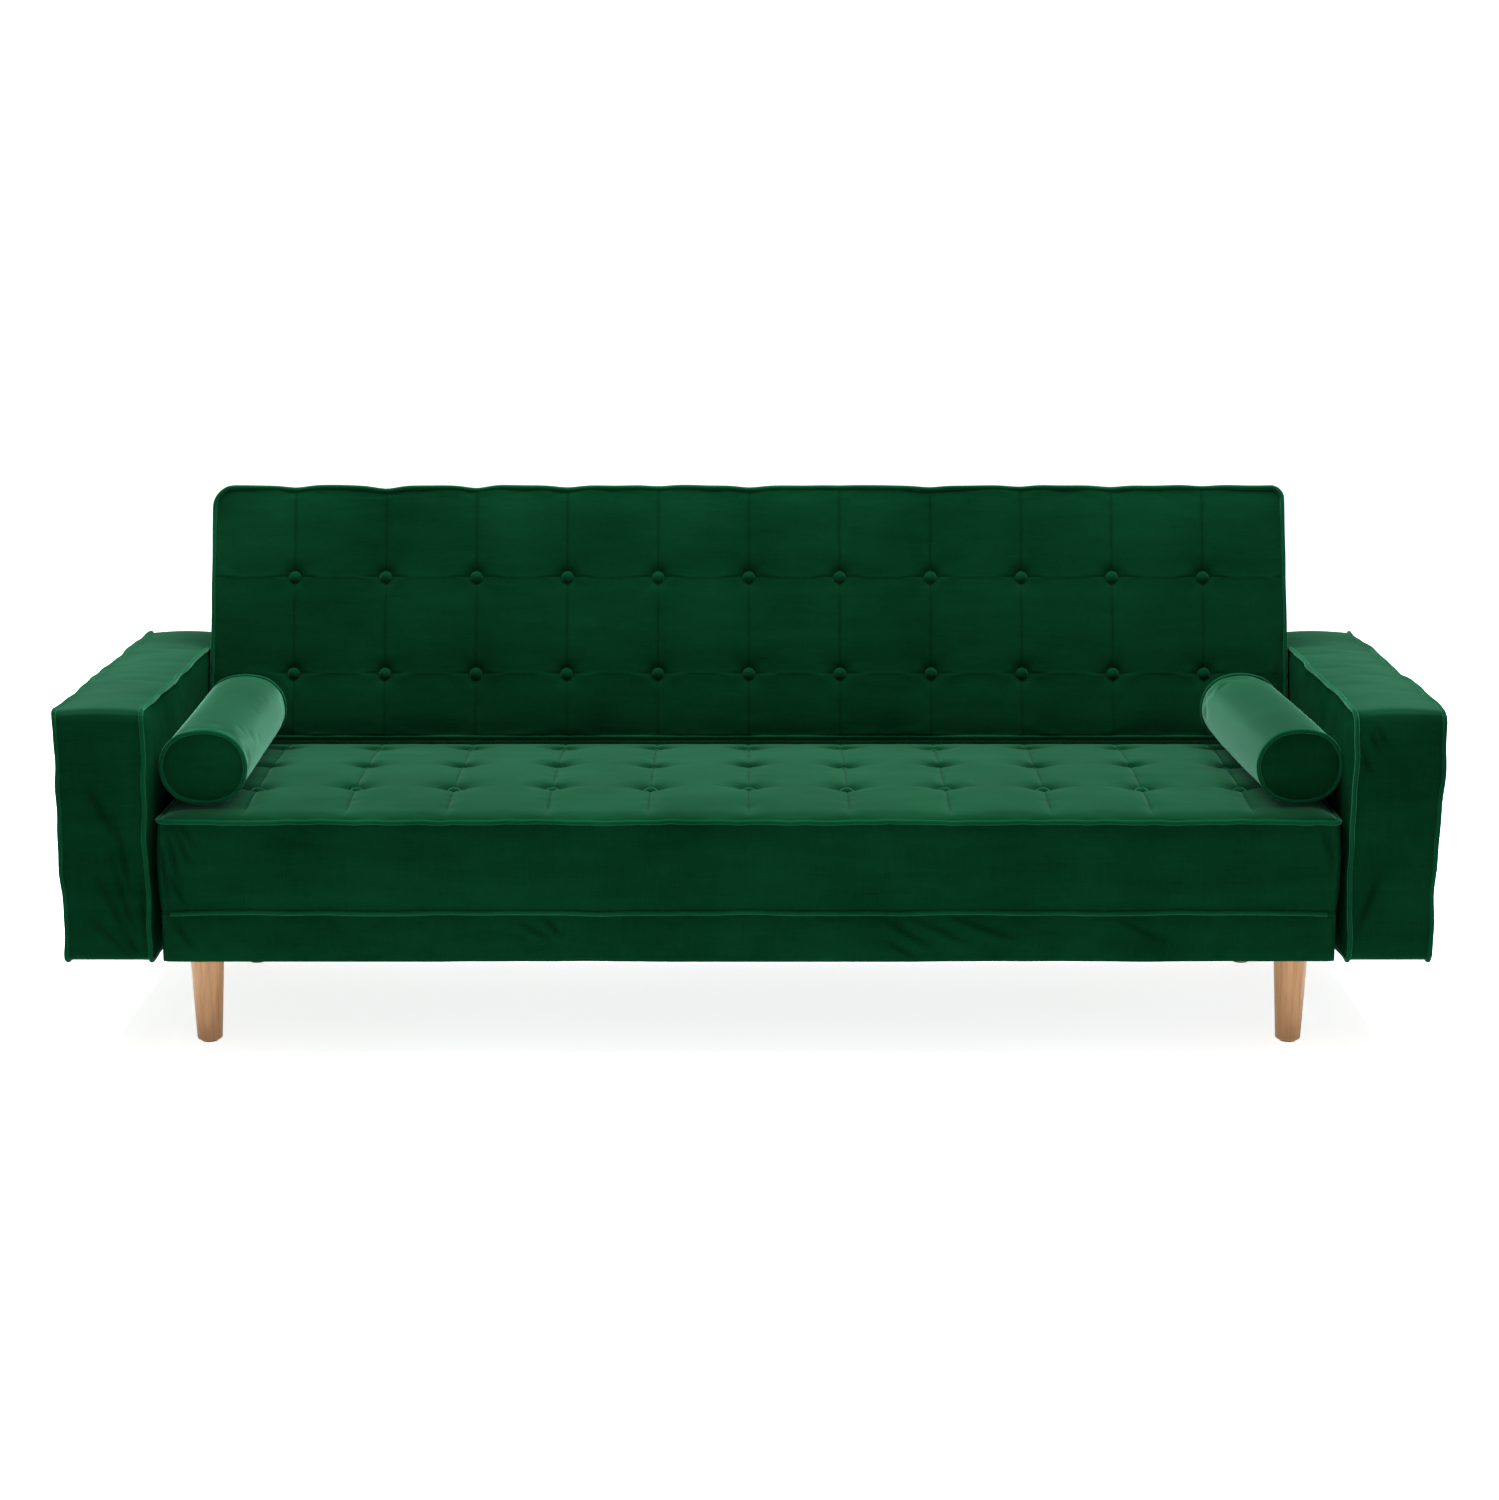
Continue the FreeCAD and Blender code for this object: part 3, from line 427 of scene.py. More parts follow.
def noise(tree, scale, detail=3.0, stretch=(1, 1, 1), rough=0.5):
    """A noise texture in the object's own metres."""
    where = tree.nodes.new("ShaderNodeTexCoord")
    mapping = tree.nodes.new("ShaderNodeMapping")
    mapping.inputs["Scale"].default_value = stretch
    tree.links.new(where.outputs["Object"], mapping.inputs["Vector"])
    node = tree.nodes.new("ShaderNodeTexNoise")
    node.inputs["Scale"].default_value = scale
    node.inputs["Detail"].default_value = detail
    node.inputs["Roughness"].default_value = rough
    tree.links.new(mapping.outputs["Vector"], node.inputs["Vector"])
    return node.outputs["Fac"]


def maths(tree, operation, first, second):
    node = tree.nodes.new("ShaderNodeMath")
    node.operation = operation
    for socket, value in zip(node.inputs, (first, second)):
        if isinstance(value, (int, float)):
            socket.default_value = value
        else:
            tree.links.new(value, socket)
    return node.outputs[0]


def weighted(tree, *parts):
    """The sum of some values, each times a weight of its own."""
    total = None
    for value, weight in parts:
        term = maths(tree, "MULTIPLY", value, weight)
        total = maths(tree, "ADD", total, term) if total else term
    return total


def ramp(tree, fac, stops):
    """From one colour to another along a value."""
    node = tree.nodes.new("ShaderNodeValToRGB")
    for element, (place, colour) in zip(node.color_ramp.elements, stops):
        element.position = place
        element.color = (*colour, 1.0)
    tree.links.new(fac, node.inputs["Fac"])
    return node.outputs["Color"]


def bump(tree, shader, height, distance, strength=1.0):
    node = tree.nodes.new("ShaderNodeBump")
    node.inputs["Distance"].default_value = distance
    node.inputs["Strength"].default_value = strength
    tree.links.new(height, node.inputs["Height"])
    tree.links.new(node.outputs["Normal"], shader.inputs["Normal"])


def darken_by_painted_shade(tree, colour, deep):
    """Painted shade: turns a colour darker where the cloth is pulled into a seam, dimple or fold."""
    layer = tree.nodes.new("ShaderNodeAttribute")
    layer.attribute_name = "painted_crease_shade"
    node = tree.nodes.new("ShaderNodeMix")
    node.data_type = "RGBA"
    node.inputs[7].default_value = (*deep, 1.0)
    tree.links.new(layer.outputs["Fac"], node.inputs[0])
    tree.links.new(colour, node.inputs[6])
    return node.outputs[2]


def velvet(name, dark, light, sheen=0.27):
    """Short pile: dark where it is looked into, pale where it is looked along."""
    mat, tree, shader = new_material(name)
    patches = noise(tree, 5.5, 4.0)
    across = noise(tree, 26.0, 3.0, (0.25, 1, 1.6), 0.6)
    thread_x = noise(tree, 420.0, 2.0, (0.05, 1, 1))
    thread_z = noise(tree, 420.0, 2.0, (1, 1, 0.05))
    pile = noise(tree, 1500.0, 2.0)
    weave = maths(tree, "MULTIPLY", maths(tree, "ADD", thread_x, thread_z), 0.5)
    mixed = weighted(tree, (patches, 0.42), (across, 0.20), (weave, 0.28), (pile, 0.10))
    # The base colour is darkened by the painted shade stored on each mesh.
    colour = darken_by_painted_shade(tree, ramp(tree, mixed, [(0.36, dark), (0.64, light)]),
                     PAINTED_SHADE_COLOUR)
    tree.links.new(colour, shader.inputs["Base Color"])
    rough = maths(tree, "ADD", maths(tree, "MULTIPLY", across, 0.12), 0.80)
    tree.links.new(rough, shader.inputs["Roughness"])
    shader.inputs["Specular IOR Level"].default_value = 0.0
    shader.inputs["Sheen Weight"].default_value = sheen
    shader.inputs["Sheen Roughness"].default_value = 0.36
    shader.inputs["Sheen Tint"].default_value = SHEEN_TINT
    bump(tree, shader, weighted(tree, (weave, 0.7), (pile, 0.3)), 0.0006, 0.5)
    return mat


def wood(name, dark, light, rough=0.5, along=2, gloss=0.0):
    """Straight grain along an axis, with pores."""
    mat, tree, shader = new_material(name)
    stretch = [1.0, 1.0, 1.0]
    stretch[along] = 0.06
    grain = noise(tree, 130.0, 5.0, tuple(stretch), 0.6)
    broad = noise(tree, 22.0, 2.0, tuple(stretch))
    pores = noise(tree, 700.0, 2.0, tuple(stretch))
    mixed = weighted(tree, (grain, 0.6), (broad, 0.4))
    tree.links.new(ramp(tree, mixed, [(0.34, dark), (0.62, light)]),
                   shader.inputs["Base Color"])
    tree.links.new(maths(tree, "ADD", maths(tree, "MULTIPLY", pores, 0.25), rough - 0.12),
                   shader.inputs["Roughness"])
    shader.inputs["Coat Weight"].default_value = gloss
    shader.inputs["Coat Roughness"].default_value = 0.35
    bump(tree, shader, pores, 0.0004, 0.35)
    return mat


def metal(name, dark, light, rough, metallic=1.0):
    mat, tree, shader = new_material(name)
    spots = noise(tree, 60.0, 4.0)
    fine = noise(tree, 900.0, 2.0)
    mixed = weighted(tree, (spots, 0.7), (fine, 0.3))
    tree.links.new(ramp(tree, mixed, [(0.35, dark), (0.65, light)]),
                   shader.inputs["Base Color"])
    tree.links.new(maths(tree, "ADD", maths(tree, "MULTIPLY", fine, 0.2), rough - 0.1),
                   shader.inputs["Roughness"])
    shader.inputs["Metallic"].default_value = metallic
    bump(tree, shader, fine, 0.0002, 0.3)
    return mat


def cellular(name, dark, light, scale, rough=0.95, depth=0.0008):
    """Foam or felted cloth."""
    mat, tree, shader = new_material(name)
    cells = noise(tree, scale, 4.0, (1, 1, 1), 0.65)
    broad = noise(tree, 9.0, 3.0)
    mixed = weighted(tree, (cells, 0.6), (broad, 0.4))
    tree.links.new(ramp(tree, mixed, [(0.35, dark), (0.65, light)]),
                   shader.inputs["Base Color"])
    tree.links.new(maths(tree, "ADD", maths(tree, "MULTIPLY", cells, 0.1), rough - 0.08),
                   shader.inputs["Roughness"])
    bump(tree, shader, cells, depth, 0.6)
    return mat


VELVET = velvet("velvet", (0.0002, 0.0100, 0.0029), (0.0010, 0.0200, 0.0067))
# The piping is the same velvet with a lighter base colour: a painted highlight for the light the round piping
# catches.
PIPING = velvet("velvet_piping", (0.0004, 0.0190, 0.0062), (0.0016, 0.0340, 0.0130), 0.17)
# A copy of the velvet with hardly any sheen: painted shade for the gaps, the tuck and the back's underside.
SHADED_VELVET = velvet("velvet_painted_shade", (0.0002, 0.0110, 0.0032), (0.0010, 0.0220, 0.0073), 0.006)
BUTTON = velvet("velvet_buttons", (0.0002, 0.0110, 0.0034), (0.0010, 0.0215, 0.0074), 0.24)
SLOT_MATERIAL = {
    "velvet": VELVET,
    "velvet_piping": PIPING,
    "velvet_buttons": BUTTON,
    "leg_wood": wood("leg_wood", (0.205, 0.082, 0.018), (0.355, 0.174, 0.048), 0.46, gloss=0.12),
    "glide_plastic": cellular("glide_plastic", (0.008, 0.008, 0.009), (0.020, 0.020, 0.022),
                              500.0, 0.55, 0.0002),
    "foam": cellular("foam", (0.52, 0.44, 0.24), (0.74, 0.66, 0.42), 650.0),
    "lining_cloth": cellular("lining_cloth", (0.006, 0.006, 0.007), (0.020, 0.020, 0.022),
                             320.0, 0.92, 0.0004),
    "frame_timber": wood("frame_timber", (0.40, 0.25, 0.12), (0.62, 0.45, 0.26), 0.75, 0),
    "spring_steel": metal("spring_steel", (0.16, 0.16, 0.165), (0.30, 0.30, 0.31), 0.38),
    "hinge_steel": metal("hinge_steel", (0.012, 0.012, 0.013), (0.028, 0.028, 0.030),
                         0.48, 0.0),
    "zinc_fastener": metal("zinc_fastener", (0.46, 0.46, 0.44), (0.62, 0.62, 0.59), 0.33),
}
for row in frame["record"]["subparts"]:
    shown = frame["nodes"][row["node"]]
    shown.data.materials.clear()
    shown.data.materials.append(SLOT_MATERIAL[row["material_slot"]])


# ---- seat ---------------------------------------------------------------------------
def column_places(node):
    low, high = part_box(node)
    return np.linspace(low.x + BUTTON_EDGE, high.x - BUTTON_EDGE, COLUMNS)


def seat_rows():
    low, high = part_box("seat_buttons")
    return np.linspace(low.y + BUTTON_EDGE, high.y - BUTTON_EDGE, 3)


SEAT_PROFILE = (  # height of the tufted top, from the front edge to the rear
    (0.0, 0.370), (0.006, 0.3746), (0.012, 0.3775), (0.030, 0.3805), (0.060, 0.3835),
    (0.100, 0.3870), (0.165, 0.3910), (0.240, 0.3945), (0.315, 0.3960), (0.390, 0.3958),
    (0.465, 0.3936), (0.495, 0.3922), (0.508, 0.3895), (0.518, 0.3862), (0.545, 0.3845),
    (0.566, 0.3815), (0.590, 0.3735), (0.603, 0.3630))
SEAT_END_PROFILE = (  # and from either end towards the middle
    (0.0, 0.370), (0.006, 0.3746), (0.012, 0.3775), (0.030, 0.3810), (0.060, 0.3860),
    (0.100, 0.3930), (0.160, 0.4050), (2.0, 0.4050))


def dimples(x, y, columns, rows, size_x, size_y):
    """1 at each button, falling away round it."""
    total = np.zeros_like(x)
    for cx in columns:
        for cy in rows:
            r = np.sqrt(((x - cx) / size_x) ** 2 + ((y - cy) / size_y) ** 2)
            total = np.maximum(total, np.exp(-r))
    return total


def nearest(values, marks):
    """The distance to the nearest mark."""
    return np.min(abs(values[:, None] - np.asarray(marks)[None, :]), axis=1)


def nearest_button(x, y, columns, rows):
    gap = np.full(len(x), 1.0)
    for cx in columns:
        for cy in rows:
            gap = np.minimum(gap, np.hypot(x - cx, y - cy))
    return gap


def seat_mattress():
    lo, hi = SEAT_LO, SEAT_HI
    columns, rows = column_places("seat_buttons"), seat_rows()
    a = grid_lines(lo.x, hi.x, 0.0100, columns)
    b = grid_lines(lo.y, hi.y, 0.0100, rows)
    c = grid_lines(lo.z, SEAT_SEAM, 0.0120, edge=(0.005,))
    numbers, faces = block(a, b, c, False, True)
    i, j, k = numbers.T
    x, y = round_corners(a[i], b[j], lo.x, hi.x, lo.y, hi.y, (SEAT_CORNER_R,) * 4)
    z = c[k].copy()
    top = k == len(c) - 1
    rim = (i == 0) | (j == 0) | (i == len(a) - 1) | (j == len(b) - 1)
    depth = y - lo.y
    end = np.minimum(x - lo.x, hi.x - x)
    profile = np.interp(depth, *zip(*SEAT_PROFILE))
    ring = SEAT_SEAM - 0.008 * smooth((depth - 0.555) / 0.045)
    from_end = np.interp(end, *zip(*SEAT_END_PROFILE))
    height = np.minimum(profile, from_end) - 0.0010 * np.exp(-abs(profile - from_end) / 0.0015)
    height += 0.0015 * waver_2d(x, y, 5, 0.35) * (
        smooth(end / 0.1) * smooth(depth / 0.1) * smooth((0.500 - depth) / 0.05))
    near_button = dimples(x, y, columns, rows, *SEAT_DIMPLE)
    to_column, to_row = nearest(x, columns), nearest(y, rows)
    in_front = smooth((0.520 - depth) / 0.03) * smooth((depth - 0.012) / 0.05)
    height -= SEAT_BUTTON_PULL * near_button
    seam = 0.0022 * bell(to_column, SEAM_GROOVE) + 0.0006 * bell(to_column, 0.012)
    height -= seam * in_front
    wing = np.exp(-np.minimum(to_column, 0.08) / 0.020)  # a tuck to either side of a button
    height -= 0.0034 * bell(to_row, 0.0055) * wing
    z = np.where(top, np.where(rim, ring, height), z)
    sway = 0.0012 * waver(x, 11) + 0.0006 * waver(x, 12, ((0.07, 1.0), (0.045, 0.6)))
    front = depth < 0.03
    z = z + np.where(top & rim & front, sway, 0)
    bulge = np.sin(math.pi * np.clip((z - lo.z) / (SEAT_SEAM - lo.z), 0, 1))
    y = y - np.where(~top & (j == 0), 0.004 * bulge, 0)
    y = y - np.where(top & rim & front, 0.0008 * waver(x, 13), 0)
    side_wall = ~top & ((i == 0) | (i == len(a) - 1))
    forward = smooth((0.300 - depth) / 0.10) * smooth(depth / 0.012)
    x = x + np.where(side_wall, 0.0050 * bulge * np.sign(x) * forward, 0)
    obj = mesh_object("seat_mattress", np.column_stack([x, y, z]), faces)
    # Painted shade: darker along the stitched lines, round the buttons, on the piped top edge and at the bottom.
    painted_crease_shade = np.maximum(0.7 * bell(to_column, 0.0016) * in_front, bell(to_row, 0.004) * wing)
    store_painted_shade(obj, np.where(top & ~rim, np.maximum(painted_crease_shade, near_button ** 0.7),
                             0.55 * ((top & rim) | (k == 0))))
    held = np.zeros(len(x))
    held[top & rim] = 1.0
    held[k == 0] = 1.0
    held[k == 1] = 0.6
    held[top & ~rim & (to_column < 0.001) & (depth < 0.520)] = 0.85
    held[top & ~rim & (depth > 0.515)] = 0.9
    pinned = top & (nearest_button(x, y, columns, rows) < BUTTON_HOLD)
    held[pinned] = 1.0
    held[~top & (depth > 0.45)] = 1.0
    co = coords(obj.data)
    co[pinned, 2] = SEAT_HI.z - SEAT_BUTTON_DEPTH
    set_coords(obj.data, co)

    def limit(end_co):
        rear = end_co[:, 1] - lo.y > TUCK_DEPTH
        end_co[rear & top] = np.minimum(end_co[rear & top], co[rear & top] + 0.0005)
        end_co[:, 0] = np.clip(end_co[:, 0], lo.x - 0.004, hi.x + 0.004)
        return end_co

    soft(obj, held, 0.0012, pressure=1.5, grow=0.002, limit=limit)
    top_rim = rim_numbers(len(a), len(b), len(c) - 1, numbers)
    low_rim = rim_numbers(len(a), len(b), 0, numbers)
    return obj, top_rim, low_rim


def base_band():
    lo, hi = BAND_LO, BAND_HI
    a = grid_lines(lo.x, hi.x, 0.0110)
    b = grid_lines(lo.y, hi.y, 0.0140)
    c = grid_lines(lo.z, hi.z - 0.0005, 0.0100, edge=(0.004,))
    numbers, faces = block(a, b, c, False, False)
    i, j, k = numbers.T
    x, y = round_corners(a[i], b[j], lo.x, hi.x, lo.y, hi.y, (BAND_CORNER_R,) * 4)
    z = c[k].copy()
    low = k == 0
    tuck = bell(z - lo.z, 0.006) * 0.003
    y = y + np.where(j == 0, tuck, 0) - np.where(j == len(b) - 1, tuck, 0)
    z = z + np.where(low, 0.0007 * waver(x, 31), 0)
    obj = mesh_object("seat_band", np.column_stack([x, y, z]), faces)
    held = np.where(low | (k == len(c) - 1), 1.0, np.where(j == 0, 0.0, 0.9))
    soft(obj, held, 0.005, pressure=1.6, grow=0.012)
    return obj


# ---- back ---------------------------------------------------------------------------
def back_place():
    """From the back's own frame (y behind its front face, z up from its bottom edge)."""
    turned = Matrix.Rotation(-BACK_TILT, 4, "X")
    return Matrix.Translation(PIVOT) @ turned @ Matrix.Translation(
        Vector((0, -PIVOT_BELOW_FACE, PIVOT_TO_EDGE)))


def back_cushion():
    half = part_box("back_cover")[1].x
    columns = column_places("back_buttons")
    rows = np.array(BACK_ROWS)
    a = grid_lines(-half, half, 0.0105, columns, edge=(0.004, 0.009, 0.016, 0.024))
    b = grid_lines(0.0, BACK_LENGTH, 0.0105, rows)
    c = np.array([0.0, 0.004, 0.010, 0.020, 0.032, 0.045, 0.058, 0.071, 0.084, 0.097,
                  0.110, 0.119, 0.1245, 0.1264])
    numbers, faces = block(a, b, c, True, False)
    i, j, k = numbers.T
    x, z = round_corners(a[i], b[j], -half, half, 0, BACK_LENGTH, BACK_CORNERS_R)
    y = c[k].copy()
    front = k == 0
    rim = (i == 0) | (j == 0) | (i == len(a) - 1) | (j == len(b) - 1)
    end = np.minimum(x + half, half - x)
    to_column, to_row = nearest(x, columns), nearest(z, rows)
    rise = (1 - np.exp(-end / 0.022)) * (1 - np.exp(-z / 0.022))
    rise = rise * (1 - np.exp(-(BACK_LENGTH - z) / 0.022))
    out = BACK_QUILT_RISE * rise + 0.0012 * waver_2d(x, z, 21, 0.4) * rise
    out -= BACK_BUTTON_PULL * dimples(x, z, columns, rows, *BACK_DIMPLE)
    out -= (0.0024 * bell(to_column, SEAM_GROOVE) + 0.0007 * bell(to_column, 0.016)) * rise
    out -= (0.0016 * bell(to_row, SEAM_GROOVE) + 0.0004 * bell(to_row, 0.016)) * rise
    y = np.where(front & ~rim, -out, y)
    # The stitched columns pull the top edge into scallops, deeper to the left.
    rng = np.random.default_rng(7)
    pull = np.zeros_like(x)
    for cx, amount in zip(columns, 0.0018 + 0.0030 * rng.random(COLUMNS)):
        pull += amount * (1.25 if cx < -0.3 else 0.8) * bell(x - cx, 0.026)
    pull += 0.0012 * waver(x, 22)
    pull = pull * (1 - 0.80 * smooth(y / 0.060))
    top = smooth((z - 0.36) / 0.06)
    z = z - np.where(rim | ~front, pull * top, pull * top * smooth((z - 0.40) / 0.02))
    x = x + np.where(rim | ~front, 0.0007 * waver(z, 23) * smooth((abs(x) - 0.8) / 0.1), 0)
    y = y + np.where(front & rim, 0.0008 * waver(x + z, 24), 0)
    # The rear edge draws in a little.
    inset = np.where(k == len(c) - 1, 0.0030, np.where(k == len(c) - 2, 0.0006, 0.0))
    x = x * (1 - inset / half)
    z = z + inset * np.where(z < 0.2, 1, -1) * ((j == 0) | (j == len(b) - 1))
    place = np.array(back_place())
    local = np.column_stack([x, y, z])
    obj = mesh_object("back_cushion", placed(local, place), faces)
    # Painted shade: darker along the stitched lines, round the buttons and on the piped edge.
    painted_crease_shade = np.maximum(0.42 * bell(to_column, 0.0016), 0.26 * bell(to_row, 0.0016))
    near_button = dimples(x, z, columns, rows, *BACK_DIMPLE)
    store_painted_shade(obj, np.where(front & ~rim, np.maximum(painted_crease_shade, 0.6 * near_button),
                             0.55 * (front & rim)))
    held = np.zeros(len(x))
    held[front & rim] = 1.0
    held[front & ~rim & ((to_column < 0.001) | (to_row < 0.001))] = 0.90
    held[~front & ((j == 0) | (k > 11) | (abs(x) > half - 0.004))] = 1.0
    pinned = front & (nearest_button(x, z, columns, rows) < BUTTON_HOLD)
    held[pinned] = 1.0
    local[pinned, 1] = BACK_BUTTON_DEPTH
    set_coords(obj.data, placed(local, place))

    def limit(end_co):
        own = unplaced(end_co, place)
        low = front & (own[:, 2] < 0.03)
        own[low, 1] = np.maximum(own[low, 1], -0.006)
        own[:, 2] = np.maximum(own[:, 2], 0.0)
        own[:, 0] = np.clip(own[:, 0], -half - 0.0015, half + 0.0015)
        return placed(own, place)

    soft(obj, held, 0.0022, pressure=1.8, grow=0.003, limit=limit)
    return obj, rim_numbers(len(a), len(b), 0, numbers), place


# ---- arms ---------------------------------------------------------------------------
def arm(side):
    """An upholstered arm. Its own frame: a along the arm, b up, c outwards."""
    sign = 1 if side == "right" else -1
    lo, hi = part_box(f"arm_{side}_cover")
    inner = lo.x if sign > 0 else -hi.x
    thick = hi.x - lo.x
    seed = 40 if sign > 0 else 60
    a = grid_lines(lo.y, hi.y, 0.0100)
    b = grid_lines(lo.z, hi.z, 0.0100)
    c = grid_lines(0.0, thick, 0.0095, edge=(0.004, 0.009))
    numbers, faces = block(a, b, c, True, True)
    i, j, k = numbers.T
    y, z = round_corners(a[i], b[j], lo.y, hi.y, lo.z, hi.z, ARM_CORNERS_R)
    w = c[k].copy()
    inside, outside = k == 0, k == len(c) - 1
    rim = (i == 0) | (j == 0) | (i == len(a) - 1) | (j == len(b) - 1)
    panel = (inside | outside) & ~rim
    edge = np.minimum(np.minimum(y - lo.y, hi.y - y), np.minimum(z - lo.z, hi.z - z))
    puff = 1 - np.exp(-edge / 0.022)
    w = np.where(panel & inside, -inner_reach(y - lo.y) * 0.70 * puff, w)
    w = np.where(panel & outside, thick + 0.005 * puff, w)
    boxing = ~inside & ~outside
    swell = np.sin(math.pi * w / thick)
    y = y - np.where(boxing & (i == 0), 0.005 * swell, 0)
    z = z + np.where(boxing & (j == len(b) - 1), 0.0035 * swell, 0)
    run = y + z * 1.3
    # The seams that carry the piping wander. The inner one keeps clear of the back.
    for level, extra in ((inside, 0), (outside, 7)):
        ring = level & rim
        uneven = 0.0030 * waver(run, seed + extra)
        beside_back = smooth((y - lo.y - 0.400) / 0.04) * (extra == 0)
        uneven = uneven * (1 - beside_back) + beside_back * (0.0020 + 0.0006 * waver(run, seed))
        w = w + np.where(ring, uneven, 0)
        y = y + np.where(ring & (i == 0), 0.0016 * waver(z, seed + 2 + extra), 0)
        z = z + np.where(ring & (j == len(b) - 1), 0.0018 * waver(y, seed + 3 + extra), 0)
    w = w + ARM_LEAN[side] * (z - (lo.z + hi.z) / 2) * np.clip(w / thick, 0, 1)
    x = sign * (inner + w)
    obj = mesh_object(f"arm_{side}_upholstery", np.column_stack([x, y, z]),
                      faces if sign > 0 else [f[::-1] for f in faces])
    # Painted shade along the piped edges of both panels.
    store_painted_shade(obj, 0.65 * ((inside | outside) & rim))
    held = np.zeros(len(x))
    held[(inside | outside) & rim] = 1.0
    held[boxing & (j == 0)] = 1.0
    held[boxing & (i == len(a) - 1)] = 0.5

    def limit(end_co):
        depth = inner - sign * end_co[:, 0]
        most = inner_reach(end_co[:, 1] - lo.y)
        depth = np.minimum(depth, np.where(inside & ~rim, most, 1.0))
        end_co[:, 0] = sign * (inner - depth)
        return end_co

    soft(obj, held, 0.005, pressure=1.3, grow=0.001, bending=3.0, limit=limit)
    rims = [rim_numbers(len(a), len(b), level, numbers) for level in (0, len(c) - 1)]
    return obj, rims


def inner_reach(y):
    """How far the inner side of an arm may stand out: less beside the hinge and the back."""
    return 0.0018 + 0.0097 * smooth((0.440 - y) / 0.22)


# ---- bolsters -----------------------------------------------------------------------
def bolster(side):
    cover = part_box(f"bolster_{side}_cover")
    turn = BOLSTER_TURN[side]
    middle = (cover[0] + cover[1]) / 2
    segments, steps, caps = 72, 44, 9
    angles = 2 * math.pi * np.arange(segments) / segments
    seed = 80 if side == "left" else 90
    points, held, numbers = [], [], {}

    def add_ring(name, t, r, hold):
        """A squashed circle of radius r. t runs from -1 at the front to 1 at the rear."""
        px = np.cos(angles) * r + np.sign(np.cos(angles)) * BOLSTER_FLAT * np.minimum(
            1, abs(np.cos(angles)) * 2.0) * r / BOLSTER_R
        numbers[name] = len(points)
        for p, q in zip(px, np.sin(angles) * r):
            points.append((p, t * BOLSTER_LENGTH / 2, q))
            held.append(hold)

    for n in range(caps - 1, 0, -1):
        share = n / caps
        add_ring(("front", n), -1 - 0.010 * (1 - share ** 2), BOLSTER_R * share, 0.0)
    for n, t in enumerate(np.linspace(-1, 1, steps)):
        fat = 1 + 0.030 * (1 - t ** 4)
        fat += 0.006 * math.sin(3.1 * t + seed)
        add_ring(("side", n), t, BOLSTER_R * (fat if 0 < n < steps - 1 else 0.985),
                 1.0 if n in (0, steps - 1) else 0.0)
    for n in range(1, caps):
        share = 1 - n / caps
        add_ring(("rear", n), 1 + 0.010 * (1 - share ** 2), BOLSTER_R * share, 0.0)
    order = [("front", n) for n in range(1, caps)] + [("side", n) for n in range(steps)]
    order += [("rear", n) for n in range(1, caps)]
    faces = []
    for p, q in zip(order, order[1:]):
        for s in range(segments):
            t = (s + 1) % segments
            faces.append((numbers[p] + s, numbers[p] + t, numbers[q] + t, numbers[q] + s))
    first, last = numbers[order[0]], numbers[order[-1]]
    front_tip, rear_tip = len(points), len(points) + 1
    points += [(0, -1.012 * BOLSTER_LENGTH / 2, 0), (0, 1.012 * BOLSTER_LENGTH / 2, 0)]
    held += [0.0, 0.0]
    for s in range(segments):
        t = (s + 1) % segments
        faces.append((front_tip, first + t, first + s))
        faces.append((rear_tip, last + s, last + t))
    own = np.array(points)
    held = np.array(held)
    floor = -BOLSTER_R - 0.0015
    for n in (0, steps - 1):
        ring = slice(numbers[("side", n)], numbers[("side", n)] + segments)
        own[ring, 1] += 0.0016 * waver(angles * 0.06, seed + n, ((0.13, 1.0), (0.06, 0.5)))
        own[ring] *= (1 + 0.010 * waver(angles * 0.06, seed + 3 + n)[:, None] * (1, 0, 1))
    own[:, 2] = np.where(own[:, 2] < floor, floor + (own[:, 2] - floor) * 0.1, own[:, 2])
    place = Matrix.Translation(middle + Vector((0, 0, 0.0025)))
    place = place @ Matrix.Rotation(turn, 4, "Z") @ Matrix.Rotation(BOLSTER_RISE, 4, "X")
    obj = mesh_object(f"bolster_{side}_cushion", placed(own, np.array(place)),
                      [f[::-1] for f in faces])
    lowest = middle.z - BOLSTER_R - BOLSTER_SINK

    def limit(end_co):
        end_co[:, 2] = np.maximum(end_co[:, 2], lowest)
        return end_co

    soft(obj, held, 0.004, pressure=1.6, grow=0.001, bending=2.0, limit=limit)
    ends = [[numbers[("side", n)] + s for s in range(segments)] for n in (0, steps - 1)]
    return obj, ends


